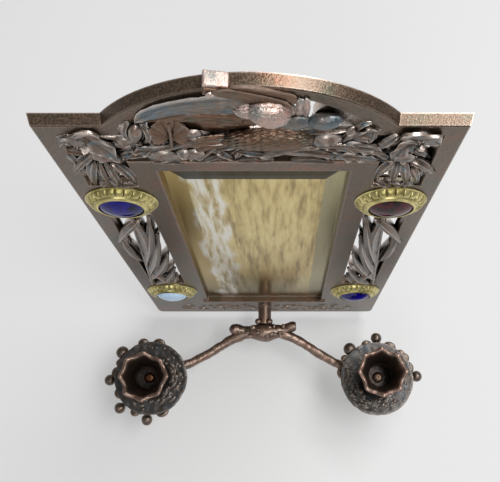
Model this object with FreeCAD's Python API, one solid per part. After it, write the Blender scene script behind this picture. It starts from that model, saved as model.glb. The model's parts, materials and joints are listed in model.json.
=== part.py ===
"""Wall sconce: an openwork cast frame that holds a bevelled mirror and four glass jewels, with a
two-armed branch that carries drip pans and candle cups.

Millimetres. +X is right, +Z is up and +Y points into the wall. The origin lies in the plane of the
wall, on the centreline, at the middle of the mirror's opening.
"""
import FreeCAD, Part
import math
import os
from FreeCAD import Vector

# Frame, seen from the front
FRAME_W = 230.0            # across the ears, at the front face
ARCH_RISE = 38.9           # from the ears' top to the crown of the arch
ARCH_R = 97.0
ARCH_INNER_R = 76.0        # the opening's arc, so that the border thins towards the crown
CORNER_R = 6.0             # bottom corners
SIDE_BORDER = 11.6
EAR_BORDER = 10.0
ARCH_BORDER = 7.0          # at the crown
INNER_BORDER = 16.0        # beside the mirror
INNER_TOP_BORDER = 12.5    # above the mirror
FRAME_T = 7.0
EDGE_FLARE = 2.0           # the cast edges spread this much from front to back
EDGE_CHAMFER = 0.6

# Mirror and what holds it
OPENING_W = 115.0
OPENING_H = 315.0
OPENING_DROP = 56.0        # from the ears' top to the opening's top
LIP_T = 4.5                # the border that shows in front of the glass
GLASS_SEAT = 5.0           # glass hidden under the lip, all round
GLASS_T = 4.0
BEVEL_W = 19.5
BEVEL_DROP = 1.3
GLASS_CLEARANCE = 0.3      # round the glass's edge
FACE_CLEARANCE = 0.1       # between faces that only rest on each other
BOARD_T = 2.0
BACK_PLATE_T = 1.6
PLATE_INSET = 2.0          # back plate inside the rebate wall's outer faces
REBATE_FOOT = 9.7          # wall under the glass
BOTTOM_RAIL = 50.0         # from the opening to the frame's bottom edge
LEDGE_H = 5.0              # bead along the bottom of the opening
LEDGE_PROUD = 1.7

# Jewels and their bezels
UPPER_JEWEL_DROP = 102.5   # from the ears' top to the jewel's middle
LOWER_JEWEL_RISE = 88.4    # from the frame's bottom edge to the jewel's middle
UPPER_BLOCK = 48.0         # solid part of the column that carries an upper jewel
LOWER_BLOCK = 53.0
BEZEL_R = 23.75
BEZEL_SKIRT_R = 16.0
BEZEL_BORE_R = 15.4
BEZEL_LIP_R = 14.8
BEZEL_LIP_T = 0.8
BEZEL_RISE = 6.2           # the lip's height above the frame
BEZEL_BEAD_R = 17.6        # bead round the inside of the band
BEZEL_BEAD_RISE = 5.6
BEZEL_EDGE_T = 1.0
BEZEL_SKIRT_LENGTH = 5.0
GADROONS = 24
GROOVE_R = 0.45
SKIRT_CLEARANCE = 0.2
JEWEL_CLEARANCE = 0.15
JEWEL_FLANGE_T = 2.9
JEWEL_DOME = 4.5
JEWEL_CUP_T = 0.8
JEWEL_CUP_DEPTH = 2.4

# Openwork panels: leaf shapes cut through, on a thin rim behind the border
RIM_T = 1.5
RIM_OVERLAP = 4.0          # rim on the border's back
RIM_SHOW = 1.5             # rim that shows inside the opening
PANEL_CLEARANCE = 0.2
SPRAY_DROP = 12.0          # top of the upper leaves below the crown of the arch
LEAF_PROUD = 3.0           # leaves in front of the frame's face
LEAF_LOW = 0.5             # leaves behind the frame's face, under the bird
MIDRIB = 1.5
MIDRIB_WIDTH_SHARE = 0.33  # of the leaf's width
MIDRIB_INSET_SHARE = 0.12  # from each end, of the leaf's length
VINE_W = 5.0
STALK_W = 3.6
LUG_R = 5.0
PANEL_RIVET_R = 1.2
PANEL_RIVET_DEPTH = 3.0
PANEL_RIVET_HEAD_R = 1.9
PANEL_RIVET_HEAD_T = 0.7

# Bird
BIRD_GAP = 0.3             # in front of the frame's face
BODY_LENGTH = 52.0
BODY_R = 11.0
SHOULDER_LENGTH = 32.0
BREAST_R = 10.5
HEAD_R = 7.0
NECK_R = 5.5
BEAK_LENGTH = 11.0
BEAK_R = 2.6
FEATHER_T = 4.0
WING_T = 5.5
TIP_T = 3.6                # wing tip that laps over the arch
TIP_W = 12.0
BIRD_PIN_R = 1.5
BIRD_PIN_DEPTH = 3.5
NECK_ROOT_SHARE = 0.7      # of the body's radius
BEAK_SEAT_SHARE = 0.85     # of the head's radius

# Back plate screws and the hanger
PLATE_SCREW_R = 1.2
PLATE_SCREW_HEAD_R = 2.4
PLATE_SCREW_HEAD_T = 1.2
PLATE_SCREW_LENGTH = 6.0
PLATE_SCREW_ROWS = 4
PLATE_SCREW_MARGIN = 14.0
SCREW_CLEARANCE = 0.1
SLOT_W = 0.6
SLOT_DEPTH = 0.5
HANGER_W = 40.0
HANGER_TAB_R = 13.0
HANGER_HOLE_R = 3.0
HANGER_HOLE_UP = 17.0      # hole's middle above the foot of the hanger
HANGER_FOOT_H = 6.5
HANGER_SCREW_X = 15.0

# Branch
STEM_BELOW = 24.0          # stem's axis below the opening
STEM_R = 7.0
STEM_LENGTH = 18.0
STUD_R = 4.0
RUN_CLEARANCE = 0.05       # round what turns
HUB_OUT = 26.5             # hub's middle in front of the frame
HUB_LENGTH = 50.0
HUB_R = 11.5
STUB_REACH = 31.0          # twig ends on both sides of the hub
STUB_R = 5.2
TWIG_R = 4.3
KNOT_R = 5.0
HUB_END_R = 6.4            # hub's ends, where the twig ends start
WASHER_R = 7.5
WASHER_T = 0.8
NUT_ACROSS = 13.0
NUT_T = 2.9

# Candle cups, drip pans and crowns
CUP_X = 112.4
CUP_OUT = 78.0             # in front of the frame
PAN_RISE = 20.0            # pan's rim above the stem's axis
LEFT_LEAN = 6.0            # degrees that the left cup leans forward
PAN_R = 36.0
PAN_DEPTH = 6.0
PAN_T = 1.8
PAN_FLAT_R = 11.0
PAN_ROLL_R = 1.5
PAN_WELL_R = 30.0          # groove inside the rolled edge
PAN_CROWN_R = 20.0         # the pan's raised ring of relief
PAN_CROWN_RISE = 3.0
PAN_WELL_SHARE = 0.85      # groove's height, of the ring's
PAN_FOOT_SHARE = 1.5       # slope round the flat, of the wall
CUP_H = 42.0               # cup's rim above the pan's rim
CUP_RIM_R = 22.0
CUP_WALL = 1.5
CUP_FOOT_R = 10.5
CUP_WAIST_R = 9.0
CUP_BARREL_R = 13.3
SOCKET_R = 11.0
SCREW_SEAT = 4.0           # the screw head's seat above the pan's rim
SCREW_SEAT_R = 6.0         # recess that the head lies in, under the candle
SOCKET_LENGTH = 15.0
PETALS = 8
PETAL_NOTCH_R = 5.2
PETAL_NOTCH_DEPTH = 3.0
FLARE_SHARE = 0.55         # flare's middle, of the way from the socket to the rim
WAIST_SHARE = 0.45         # waist, of the way from the foot to the screw's seat
SCREW_R = 2.5
SCREW_HEAD_R = 5.2
SCREW_HEAD_T = 2.8
SCREW_HEAD_CLEARANCE = 0.2   # between the head and the candle
SCREW_DEPTH = 8.0          # into the arm's boss
SCREW_DIMPLE_R = 1.2
SCREW_DOME_SHARES = (0.7, 0.12)   # dome's shoulder, of the head's radius and height
HOLE_CLEARANCE = 0.4
CROWN_T = 3.0
CROWN_DISK_R = 14.0
CROWN_REACH = 40.0         # to the middle of the balls
CROWN_BALL_R = 5.5
CROWN_BALL_DROP = 9.0      # balls' middle below the pan's rim
CROWN_RIB_R = 2.4
CROWN_NECK_R = 2.7         # under a ball
CROWN_RIB_DROP = 11.0
CROWN_LEAF_W = 12.0
CROWN_LEAF_T = 2.0
CROWN_ROOT_SHARE = 0.7     # where ribs and leaves start, of the disk's radius
CROWN_BEND_SHARE = 0.75    # where the ribs rise, of the way to the balls
LEFT_CROWN_SHIFT = (-3.5, -1.8)
RIGHT_CROWN_SHIFT = (1.9, 2.9)
LEFT_KNOBS = (3, 4, 5, 6)  # ribs that end in a ball, counted from +X; the others end under the pan
RIGHT_KNOBS = (0, 2, 3)
BOSS_R = 7.5
BOSS_H = 16.0

OVERRUN = 2.0              # how far cuts pass the faces that they open

# Leaves as shares of the upper panel's half width and height: base x, z, tip x, z, width
SPRAY_LEAF_SHARES = [
    (-0.70, 0.11, -0.92, 0.45, 0.155), (-0.81, 0.14, -0.99, -0.20, 0.08),
    (-0.82, 0.11, -0.94, -0.46, 0.08), (-0.80, 0.11, -0.83, -0.47, 0.07),
    (-0.77, 0.11, -0.73, -0.32, 0.07), (-0.87, 0.22, -0.98, 0.50, 0.08),
    (-0.60, 0.33, -0.57, 0.76, 0.10), (-0.44, 0.35, -0.41, 0.79, 0.20),
    (-0.54, 0.36, -0.66, 0.67, 0.07), (-0.60, 0.14, -0.41, 0.26, 0.09),
    (-0.39, 0.25, -0.27, 0.28, 0.10), (-0.27, 0.14, -0.08, 0.31, 0.08),
    (-0.08, 0.11, 0.12, 0.25, 0.09), (0.32, 0.43, 0.48, 0.57, 0.13),
    (0.14, 0.09, 0.44, 0.23, 0.10), (0.44, 0.16, 0.73, 0.32, 0.11),
    (0.48, 0.36, 0.64, 0.66, 0.12), (0.33, 0.59, 0.50, 0.90, 0.17),
    (0.75, 0.16, 0.96, 0.53, 0.17), (0.68, 0.22, 0.73, 0.55, 0.10),
    (0.77, 0.11, 0.70, -0.23, 0.08), (0.80, 0.11, 0.83, -0.47, 0.08),
    (0.83, 0.11, 0.94, -0.38, 0.07), (0.85, 0.14, 1.03, -0.09, 0.08),
]
SPRAY_VINE_SHARES = [
    (-0.81, 0.12), (-0.68, 0.21), (-0.48, 0.35), (-0.29, 0.40), (-0.12, 0.49), (0.04, 0.48),
    (0.19, 0.45), (0.32, 0.40), (0.48, 0.33), (0.68, 0.22), (0.81, 0.12),
]
SPRAY_RIVET_SHARES = [-0.8, -0.3, 0.3, 0.8]
ARCH_PART_SHARE = 0.5      # nearer to the middle than this, a rivet sits under the arch
BIRD_SPAN_SHARES = (0.6, 0.3)
BIRD_PIN_SHARES = [(-0.12, 0.49), (0.19, 0.45)]
# Leaves as shares of a side panel's width, from its inner edge, and height: base, tip, width
SIDE_LEAF_SHARES = [
    (0.95, 0.08, 0.00, 0.52, 0.24), (0.85, 0.20, 0.05, 0.78, 0.24), (0.75, 0.35, 0.00, 1.00, 0.26),
    (0.62, 0.50, 0.42, 1.00, 0.26), (0.25, 0.97, 1.05, 0.70, 0.22), (0.80, 0.04, 0.05, 0.30, 0.22),
    (0.20, 0.00, 0.62, 0.26, 0.20), (0.86, 0.30, 1.00, 0.62, 0.20),
]
SIDE_VINE_SHARES = [(0.92, 0.00), (0.88, 0.18), (0.78, 0.36), (0.64, 0.56), (0.56, 0.80), (0.50, 1.00)]
# Bird as shares of the upper panel's half width and height
BODY_SHARE = (0.10, 0.62)
BREAST_SHARE = (0.08, 0.84)
HEAD_SHARE = (0.40, 0.80)
BEAK_TURN = 14.0
WING_SHARES = [(0.12, 0.93), (-0.20, 1.05), (-0.55, 0.72), (-0.20, 0.86), (0.06, 0.68)]
FEATHER_SHARES = [
    (0.16, 0.72, 0.26, 1.12, 0.09), (-0.06, 0.56, -0.42, 0.46, 0.09), (-0.06, 0.62, -0.36, 0.55, 0.08),
]
# Arms: share of the way from the hub to the cup, then shares of the sideways and outward runs
LEFT_ARM_SHARES = [(0.19, 0.10), (0.34, 0.24), (0.49, 0.42), (0.62, 0.63), (0.75, 0.84)]
RIGHT_ARM_SHARES = [(0.14, 0.10), (0.26, 0.22), (0.46, 0.48), (0.68, 0.66), (0.84, 0.82)]
ARM_SAG = 5.0

# Worked out: depths, with y positive into the wall
GLASS_BACK_Y = -(BACK_PLATE_T + BOARD_T)
GLASS_FACE_Y = GLASS_BACK_Y - GLASS_T
LIP_Y = GLASS_FACE_Y + BEVEL_DROP * (1 - GLASS_SEAT / BEVEL_W) - FACE_CLEARANCE
FRONT_Y = LIP_Y - LIP_T
FRAME_BACK_Y = FRONT_Y + FRAME_T
# Worked out: heights and half widths
EARS_Z = OPENING_DROP + OPENING_H / 2
BOTTOM_Z = -OPENING_H / 2 - BOTTOM_RAIL
OPENING_X = OPENING_W / 2
OPENING_TOP_Z = OPENING_H / 2
INNER_X = OPENING_X + INNER_BORDER
INNER_TOP_Z = OPENING_TOP_Z + INNER_TOP_BORDER
GLASS_X = OPENING_X + GLASS_SEAT
GLASS_Z = OPENING_TOP_Z + GLASS_SEAT
FOOT_Z = -GLASS_Z - REBATE_FOOT
PANEL_X = FRAME_W / 2 - SIDE_BORDER
COLUMN_X = (INNER_X + PANEL_X) / 2
ARCH_TOP_Z = EARS_Z + ARCH_RISE
SPRAY_H = ARCH_TOP_Z - SPRAY_DROP - INNER_TOP_Z
UPPER_JEWEL_Z = EARS_Z - UPPER_JEWEL_DROP
LOWER_JEWEL_Z = BOTTOM_Z + LOWER_JEWEL_RISE
CORNER_Z = UPPER_JEWEL_Z + UPPER_BLOCK / 2
SIDE_TOP_Z = UPPER_JEWEL_Z - UPPER_BLOCK / 2
SIDE_BOTTOM_Z = LOWER_JEWEL_Z + LOWER_BLOCK / 2
STEM_Z = -OPENING_H / 2 - STEM_BELOW
PAN_Z = STEM_Z + PAN_RISE
CROWN_TOP = -PAN_DEPTH - PAN_T - RUN_CLEARANCE
BOSS_TOP = CROWN_TOP - CROWN_T
SOCKET_FLOOR = SCREW_SEAT + SCREW_HEAD_T + SCREW_HEAD_CLEARANCE
X_AXIS = Vector(1, 0, 0)
Y_AXIS = Vector(0, 1, 0)
Z_AXIS = Vector(0, 0, 1)
SIDES = {"left": -1, "right": 1}


def ahead(distance):
    """The y of a plane this far in front of the frame's face."""
    return FRONT_Y - distance


def box(x0, x1, y0, y1, z0, z1):
    """A box between two opposite corners."""
    return Part.makeBox(x1 - x0, y1 - y0, z1 - z0, Vector(x0, y0, z0))


def rod(x, z, r, y0, y1):
    """A cylinder along Y."""
    return Part.makeCylinder(r, y1 - y0, Vector(x, y0, z), Y_AXIS)


def post(r, z0, z1):
    """A cylinder along Z on the axis."""
    return Part.makeCylinder(r, z1 - z0, Vector(0, 0, z0), Z_AXIS)


def united(shapes):
    """All the shapes as one solid."""
    return shapes[0].multiFuse(shapes[1:]).removeSplitter()


def path(start, *steps):
    """A closed wire: a step of one point is a straight run, one of two is an arc through the first."""
    edges = []
    here = start
    for step in steps + ((start,),):
        there = step[-1]
        if (there - here).Length > RUN_CLEARANCE / 10:
            if len(step) == 2:
                edges.append(Part.Arc(here, step[0], there).toShape())
            else:
                edges.append(Part.LineSegment(here, there).toShape())
        here = there
    return Part.Wire(edges)


def turned(axis, start, *steps):
    """A solid of revolution from (radius, distance along the axis) points, about Y or Z."""
    def place(p):
        return Vector(p[0], p[1], 0) if axis == Y_AXIS else Vector(p[0], 0, p[1])
    wire = path(place(start), *[tuple(place(p) for p in step) for step in steps])
    return Part.Face(wire).revolve(Vector(0, 0, 0), axis, 360)


def flat(x, z, y=0.0):
    """A point of an outline drawn in a plane parallel to the wall."""
    return Vector(x, y, z)


def prism(wire, y0, y1):
    """A wire drawn at y = 0, filled and carried from y0 to y1."""
    face = Part.Face(wire)
    face.translate(Vector(0, y0, 0))
    return face.extrude(Vector(0, y1 - y0, 0))


def arch_steps(r, top, ear_z, y):
    """An arch from the right ear to the left one, as steps of a path, and its right foot."""
    foot_x = math.sqrt(r ** 2 - (r - top + ear_z) ** 2)
    return flat(foot_x, ear_z, y), [(flat(0, top, y), flat(-foot_x, ear_z, y))]


def frame_outline(grow, y):
    """The frame's outer edge, spread outwards by grow."""
    x, top, low, r = FRAME_W / 2 + grow, EARS_Z + grow, BOTTOM_Z - grow, CORNER_R + grow
    bend = r * (1 - math.sqrt(0.5))
    foot, steps = arch_steps(ARCH_R + grow, ARCH_TOP_Z + grow, top, y)
    return path(flat(-x + r, low, y), (flat(x - r, low, y),),
                (flat(x - bend, low + bend, y), flat(x, low + r, y)), (flat(x, top, y),), (foot,),
                *steps, (flat(-x, top, y),), (flat(-x, low + r, y),),
                (flat(-x + bend, low + bend, y), flat(-x + r, low, y)))


def spray_outline(grow, inner_grow):
    """The upper opening's edge: grow outwards at the outer border, inner_grow at the inner one."""
    x = PANEL_X + grow
    top = EARS_Z - EAR_BORDER + grow
    low = CORNER_Z - grow
    inner_x = INNER_X - inner_grow
    inner_z = INNER_TOP_Z - inner_grow
    foot, steps = arch_steps(ARCH_INNER_R + grow, ARCH_TOP_Z - ARCH_BORDER + grow, top, 0)
    return path(flat(inner_x, inner_z), (flat(inner_x, low),), (flat(x, low),), (flat(x, top),), (foot,),
                *steps, (flat(-x, top),), (flat(-x, low),), (flat(-inner_x, low),),
                (flat(-inner_x, inner_z),))


def side_outline(side, grow):
    """A side opening's edge, spread outwards by grow."""
    a, b = sorted((side * (INNER_X - grow), side * (PANEL_X + grow)))
    low, top = SIDE_BOTTOM_Z - grow, SIDE_TOP_Z + grow
    return path(flat(a, low), (flat(b, low),), (flat(b, top),), (flat(a, top),))


def jewel_places():
    """Name and place of each jewel."""
    rows = {"upper": UPPER_JEWEL_Z, "lower": LOWER_JEWEL_Z}
    return {f"{row}_{side}": (sign * COLUMN_X, z) for row, z in rows.items() for side, sign in SIDES.items()}


def plate_screw_places():
    """Middles of the back plate's screws, on the rebate wall."""
    x = (GLASS_X + INNER_X) / 2
    top, low = GLASS_Z - PLATE_SCREW_MARGIN, -GLASS_Z + PLATE_SCREW_MARGIN
    step = (top - low) / (PLATE_SCREW_ROWS - 1)
    return [(side * x, low + i * step) for side in (-1, 1) for i in range(PLATE_SCREW_ROWS)]


def hanger_screw_places():
    """Middles of the hanger's two screws."""
    return [(side * HANGER_SCREW_X, (GLASS_Z + INNER_TOP_Z) / 2) for side in (-1, 1)]


def spray_rivet_places():
    """Rivets that hold the upper panel's rim to the border."""
    ear_z = EARS_Z - EAR_BORDER + RIM_OVERLAP / 2
    edge_x = PANEL_X + RIM_OVERLAP / 2
    arch_r = ARCH_INNER_R + RIM_OVERLAP / 2
    arch_middle = ARCH_TOP_Z - ARCH_BORDER - ARCH_INNER_R
    places = []
    for share in SPRAY_RIVET_SHARES:
        x = share * PANEL_X
        if abs(share) < ARCH_PART_SHARE:
            places.append((x, arch_middle + math.sqrt(arch_r ** 2 - x ** 2)))
        else:
            places.append((x, ear_z))
            places.append((math.copysign(edge_x, share), (ear_z + CORNER_Z) / 2))
    return places


def side_rivet_places(side):
    """Rivets that hold a side panel's rim to the border."""
    x = side * (PANEL_X + RIM_OVERLAP / 2)
    step = (SIDE_TOP_Z - SIDE_BOTTOM_Z) / 3
    return [(x, SIDE_BOTTOM_Z + step * k) for k in (0.5, 1.5, 2.5)]


def rivet_places():
    """All rivets of the three panels."""
    return spray_rivet_places() + side_rivet_places(-1) + side_rivet_places(1)


def spray_point(share):
    """A place in the upper panel from its shares."""
    return share[0] * PANEL_X, INNER_TOP_Z + share[1] * SPRAY_H


def frame_casting():
    """Borders, columns, rebate wall, jewel seats and the bottom rail, in one casting."""
    body = Part.makeLoft([frame_outline(0, FRONT_Y), frame_outline(EDGE_FLARE, FRAME_BACK_Y)], True, True)
    openings = [spray_outline(0, 0), side_outline(-1, 0), side_outline(1, 0)]
    y0, y1 = FRONT_Y - OVERRUN, FRAME_BACK_Y + OVERRUN
    cuts = [prism(wire, y0, y1) for wire in openings]
    cuts.append(box(-OPENING_X, OPENING_X, y0, y1, -OPENING_TOP_Z, OPENING_TOP_Z))
    body = body.cut(Part.makeCompound(cuts))
    rim = [e for e in body.Edges if all(abs(v.Y - FRONT_Y) < RUN_CLEARANCE for v in e.Vertexes)]
    body = body.makeChamfer(EDGE_CHAMFER, rim)
    wall = box(-INNER_X, INNER_X, FRAME_BACK_Y - LIP_T / 2, -BACK_PLATE_T, FOOT_Z, INNER_TOP_Z)
    ledge = box(-GLASS_X, GLASS_X, ahead(LEDGE_PROUD), ahead(-LIP_T / 2),
                -OPENING_TOP_Z - LEDGE_H, -OPENING_TOP_Z)
    front_top = [e for e in ledge.Edges
                 if all(abs(v.Y - ahead(LEDGE_PROUD)) < RUN_CLEARANCE for v in e.Vertexes)]
    body = united([body, wall, ledge.makeChamfer(EDGE_CHAMFER, front_top)])
    gx, gz = GLASS_X + GLASS_CLEARANCE, GLASS_Z + GLASS_CLEARANCE
    cuts = [box(-gx, gx, LIP_Y, OVERRUN, -gz, gz),
            box(-OPENING_X, OPENING_X, ahead(OVERRUN), OVERRUN, -OPENING_TOP_Z, OPENING_TOP_Z),
            rod(0, STEM_Z, STUD_R + RUN_CLEARANCE, ahead(OVERRUN), OVERRUN)]
    cuts += [rod(x, z, BEZEL_SKIRT_R + SKIRT_CLEARANCE, ahead(OVERRUN), OVERRUN)
             for x, z in jewel_places().values()]
    depth = PLATE_SCREW_LENGTH + SCREW_CLEARANCE
    cuts += [rod(x, z, PLATE_SCREW_R + SCREW_CLEARANCE, -depth, OVERRUN)
             for x, z in plate_screw_places() + hanger_screw_places()]
    pin_top = FRAME_BACK_Y - PANEL_RIVET_DEPTH - SCREW_CLEARANCE
    cuts += [rod(x, z, PANEL_RIVET_R + SCREW_CLEARANCE, pin_top, OVERRUN) for x, z in rivet_places()]
    return body.cut(Part.makeCompound(cuts))


def lens(a, b, width):
    """A pointed outline between two arcs, drawn parallel to the wall."""
    across = (b - a).cross(Y_AXIS).normalize() * (width / 2)
    middle = (a + b) / 2
    return path(a, (middle + across, b), (middle - across, a))


def leaf(base, tip, width, proud):
    """A pointed leaf between two arcs, with a raised midrib, from the rim's back to its face."""
    back = FRAME_BACK_Y + RIM_T
    a, b = flat(*base), flat(*tip)
    inset = (b - a) * MIDRIB_INSET_SHARE
    return [prism(lens(a, b, width), ahead(proud), back),
            prism(lens(a + inset, b - inset, width * MIDRIB_WIDTH_SHARE), ahead(proud + MIDRIB), back)]


def bar(p, q, width, proud):
    """A straight stalk with round ends, from the rim's back to its face."""
    back = FRAME_BACK_Y + RIM_T
    a, b = flat(*p), flat(*q)
    across = (b - a).cross(Y_AXIS).normalize() * (width / 2)
    wire = path(a + across, (b + across,), (b - across,), (a - across,))
    return [prism(wire, ahead(proud), back), rod(p[0], p[1], width / 2, ahead(proud), back),
            rod(q[0], q[1], width / 2, ahead(proud), back)]


def branching(leaves, vine, proud):
    """A vine with every leaf tied to its nearest node by a stalk."""
    parts = []
    for p, q in zip(vine, vine[1:]):
        parts += bar(p, q, VINE_W, proud(p))
    for base, tip, width in leaves:
        near = min(vine, key=lambda p: math.dist(p, base))
        if math.dist(near, base) > STALK_W / 2:
            parts += bar(near, base, STALK_W, min(proud(near), proud(base)))
        parts += leaf(base, tip, width, proud(base))
    return parts


def upper_spray():
    """Leaves, bud, fan leaf and vine across the top, down into both corners."""
    def proud(place):
        near, up = BIRD_SPAN_SHARES
        under_bird = abs(place[0]) < PANEL_X * near and place[1] > INNER_TOP_Z + SPRAY_H * up
        return -LEAF_LOW - MIDRIB if under_bird else LEAF_PROUD
    vine = [spray_point(s) for s in SPRAY_VINE_SHARES]
    leaves = [(spray_point(s[:2]), spray_point(s[2:4]), s[4] * PANEL_X) for s in SPRAY_LEAF_SHARES]
    parts = branching(leaves, vine, proud)
    back = FRAME_BACK_Y + RIM_T
    for share in BIRD_PIN_SHARES:
        x, z = spray_point(share)
        parts.append(rod(x, z, LUG_R, ahead(-LEAF_LOW), back))
    edge = spray_outline(-PANEL_CLEARANCE, -PANEL_CLEARANCE)
    clip = prism(edge, ahead(LEAF_PROUD + MIDRIB + OVERRUN), OVERRUN)
    rim = prism(spray_outline(RIM_OVERLAP, -PANEL_CLEARANCE), FRAME_BACK_Y, back)
    rim = rim.cut(prism(spray_outline(-RIM_SHOW, VINE_W), FRAME_BACK_Y - OVERRUN, back + OVERRUN))
    body = united([united(parts).common(clip), rim])
    holes = [rod(x, z, PANEL_RIVET_R + SCREW_CLEARANCE, FRAME_BACK_Y - OVERRUN, OVERRUN)
             for x, z in spray_rivet_places()]
    holes += [rod(*spray_point(s), BIRD_PIN_R + SCREW_CLEARANCE, ahead(OVERRUN), OVERRUN)
              for s in BIRD_PIN_SHARES]
    return body.cut(Part.makeCompound(holes))


def side_panel(side):
    """Lance leaves that fan up from a stalk in a column's long opening."""
    width, height = PANEL_X - INNER_X, SIDE_TOP_Z - SIDE_BOTTOM_Z

    def place(share):
        return side * (INNER_X + share[0] * width), SIDE_BOTTOM_Z + share[1] * height
    leaves = [(place(s[:2]), place(s[2:4]), s[4] * width) for s in SIDE_LEAF_SHARES]
    parts = branching(leaves, [place(s) for s in SIDE_VINE_SHARES], lambda p: 0)
    back = FRAME_BACK_Y + RIM_T
    clip = prism(side_outline(side, -PANEL_CLEARANCE), ahead(LEAF_PROUD + OVERRUN), OVERRUN)
    rim = prism(side_outline(side, RIM_OVERLAP), FRAME_BACK_Y, back)
    rim = rim.cut(prism(side_outline(side, -RIM_SHOW), FRAME_BACK_Y - OVERRUN, back + OVERRUN))
    keep_x = sorted((side * (INNER_X + PANEL_CLEARANCE), side * (PANEL_X + RIM_OVERLAP)))
    keep = box(keep_x[0], keep_x[1], FRAME_BACK_Y - OVERRUN, OVERRUN,
               SIDE_BOTTOM_Z - RIM_OVERLAP, SIDE_TOP_Z + RIM_OVERLAP)
    body = united([united(parts).common(clip), rim.common(keep)])
    holes = [rod(x, z, PANEL_RIVET_R + SCREW_CLEARANCE, FRAME_BACK_Y - OVERRUN, OVERRUN)
             for x, z in side_rivet_places(side)]
    return body.cut(Part.makeCompound(holes))


def panel_rivets():
    """Round-headed rivets through the panels' rims into the border."""
    rim_back = FRAME_BACK_Y + RIM_T
    rivets = []
    for x, z in rivet_places():
        shank = rod(x, z, PANEL_RIVET_R, FRAME_BACK_Y - PANEL_RIVET_DEPTH, rim_back)
        head = rod(x, z, PANEL_RIVET_HEAD_R, rim_back, rim_back + PANEL_RIVET_HEAD_T)
        rivets.append(united([shank, head]))
    return Part.makeCompound(rivets)


def spindle(length, r, x, z, tilt):
    """A round body that tapers to both ends, lying in front of the face at a tilt in degrees."""
    half = length / 2
    wire = path(Vector(-half, 0, 0), (Vector(0, 0, r), Vector(half, 0, 0)))
    solid = Part.Face(wire).revolve(Vector(0, 0, 0), X_AXIS, 360)
    solid.rotate(Vector(0, 0, 0), Y_AXIS, tilt)
    solid.translate(Vector(x, ahead(BIRD_GAP), z))
    return solid


def bird():
    """A bird in high relief, wings spread along the arch, one wing tip lapped over its top."""
    body_at, breast_at, head_at = spray_point(BODY_SHARE), spray_point(BREAST_SHARE), spray_point(HEAD_SHARE)
    y = ahead(BIRD_GAP)
    parts = [spindle(BODY_LENGTH, BODY_R, *body_at, -BEAK_TURN / 2),
             spindle(SHOULDER_LENGTH, BREAST_R, *breast_at, -90)]
    head = Vector(head_at[0], y, head_at[1])
    parts.append(Part.makeSphere(HEAD_R, head))
    body_end = Vector(body_at[0] + BODY_LENGTH / 4, y, body_at[1])
    neck = head - body_end
    parts.append(Part.makeCone(BODY_R * NECK_ROOT_SHARE, NECK_R, neck.Length, body_end, neck))
    turn = math.radians(BEAK_TURN)
    beak = Vector(math.cos(turn), 0, math.sin(turn))
    parts.append(Part.makeCone(BEAK_R, 0, BEAK_LENGTH, head + beak * (HEAD_R * BEAK_SEAT_SHARE), beak))
    wing = [flat(*spray_point(s)) for s in WING_SHARES]
    parts.append(prism(path(wing[0], (wing[1], wing[2]), (wing[3], wing[4])), y - WING_T, y))
    for s in FEATHER_SHARES:
        outline = lens(flat(*spray_point(s[:2])), flat(*spray_point(s[2:4])), s[4] * PANEL_X)
        parts.append(prism(outline, y - FEATHER_T, y))
    tip_x = spray_point(WING_SHARES[1])[0]
    top = ARCH_TOP_Z + BIRD_GAP
    low = top - SPRAY_DROP - BODY_R / 2
    lap = box(tip_x, tip_x + TIP_W, y - TIP_T, FRAME_BACK_Y, low, top + TIP_T)
    whole = united(parts + [lap])
    behind = prism(frame_outline(BIRD_GAP, 0), y, OVERRUN)
    rim = [frame_outline(BIRD_GAP, y), frame_outline(EDGE_FLARE + BIRD_GAP, FRAME_BACK_Y)]
    edge = Part.makeLoft(rim, True, True)
    pins = [rod(*spray_point(s), BIRD_PIN_R, ahead(BIRD_PIN_DEPTH), y) for s in BIRD_PIN_SHARES]
    return whole.cut(Part.makeCompound([behind, edge] + pins))


def bird_pins():
    """Two pins, driven into the bird and headed behind the vine."""
    back = FRAME_BACK_Y + RIM_T
    pins = []
    for share in BIRD_PIN_SHARES:
        x, z = spray_point(share)
        shank = rod(x, z, BIRD_PIN_R, ahead(BIRD_PIN_DEPTH), back)
        pins.append(united([shank, rod(x, z, BIRD_PIN_R * 2, back, back + PANEL_RIVET_HEAD_T)]))
    return Part.makeCompound(pins)


def mirror_glass():
    """Bevelled plate glass."""
    foot = box(-GLASS_X, GLASS_X, GLASS_FACE_Y + BEVEL_DROP, GLASS_BACK_Y, -GLASS_Z, GLASS_Z)

    def rectangle(inset, y):
        x, z = GLASS_X - inset, GLASS_Z - inset
        return path(flat(-x, -z, y), (flat(x, -z, y),), (flat(x, z, y),), (flat(-x, z, y),))
    foot_edge, face_edge = rectangle(0, GLASS_FACE_Y + BEVEL_DROP), rectangle(BEVEL_W, GLASS_FACE_Y)
    bevel = Part.makeLoft([foot_edge, face_edge], True, True)
    return united([foot, bevel])


def mirror_backing():
    """Soft board between the glass and the back plate."""
    return box(-GLASS_X, GLASS_X, GLASS_BACK_Y, -BACK_PLATE_T, -GLASS_Z, GLASS_Z)


def hanger_outline_cut(clearance):
    """The hanger's foot, as a notch for the back plate."""
    x = HANGER_W / 2 + clearance
    low = INNER_TOP_Z - FACE_CLEARANCE - HANGER_FOOT_H - clearance
    return box(-x, x, -BACK_PLATE_T - OVERRUN, OVERRUN, low, INNER_TOP_Z + OVERRUN)


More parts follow.
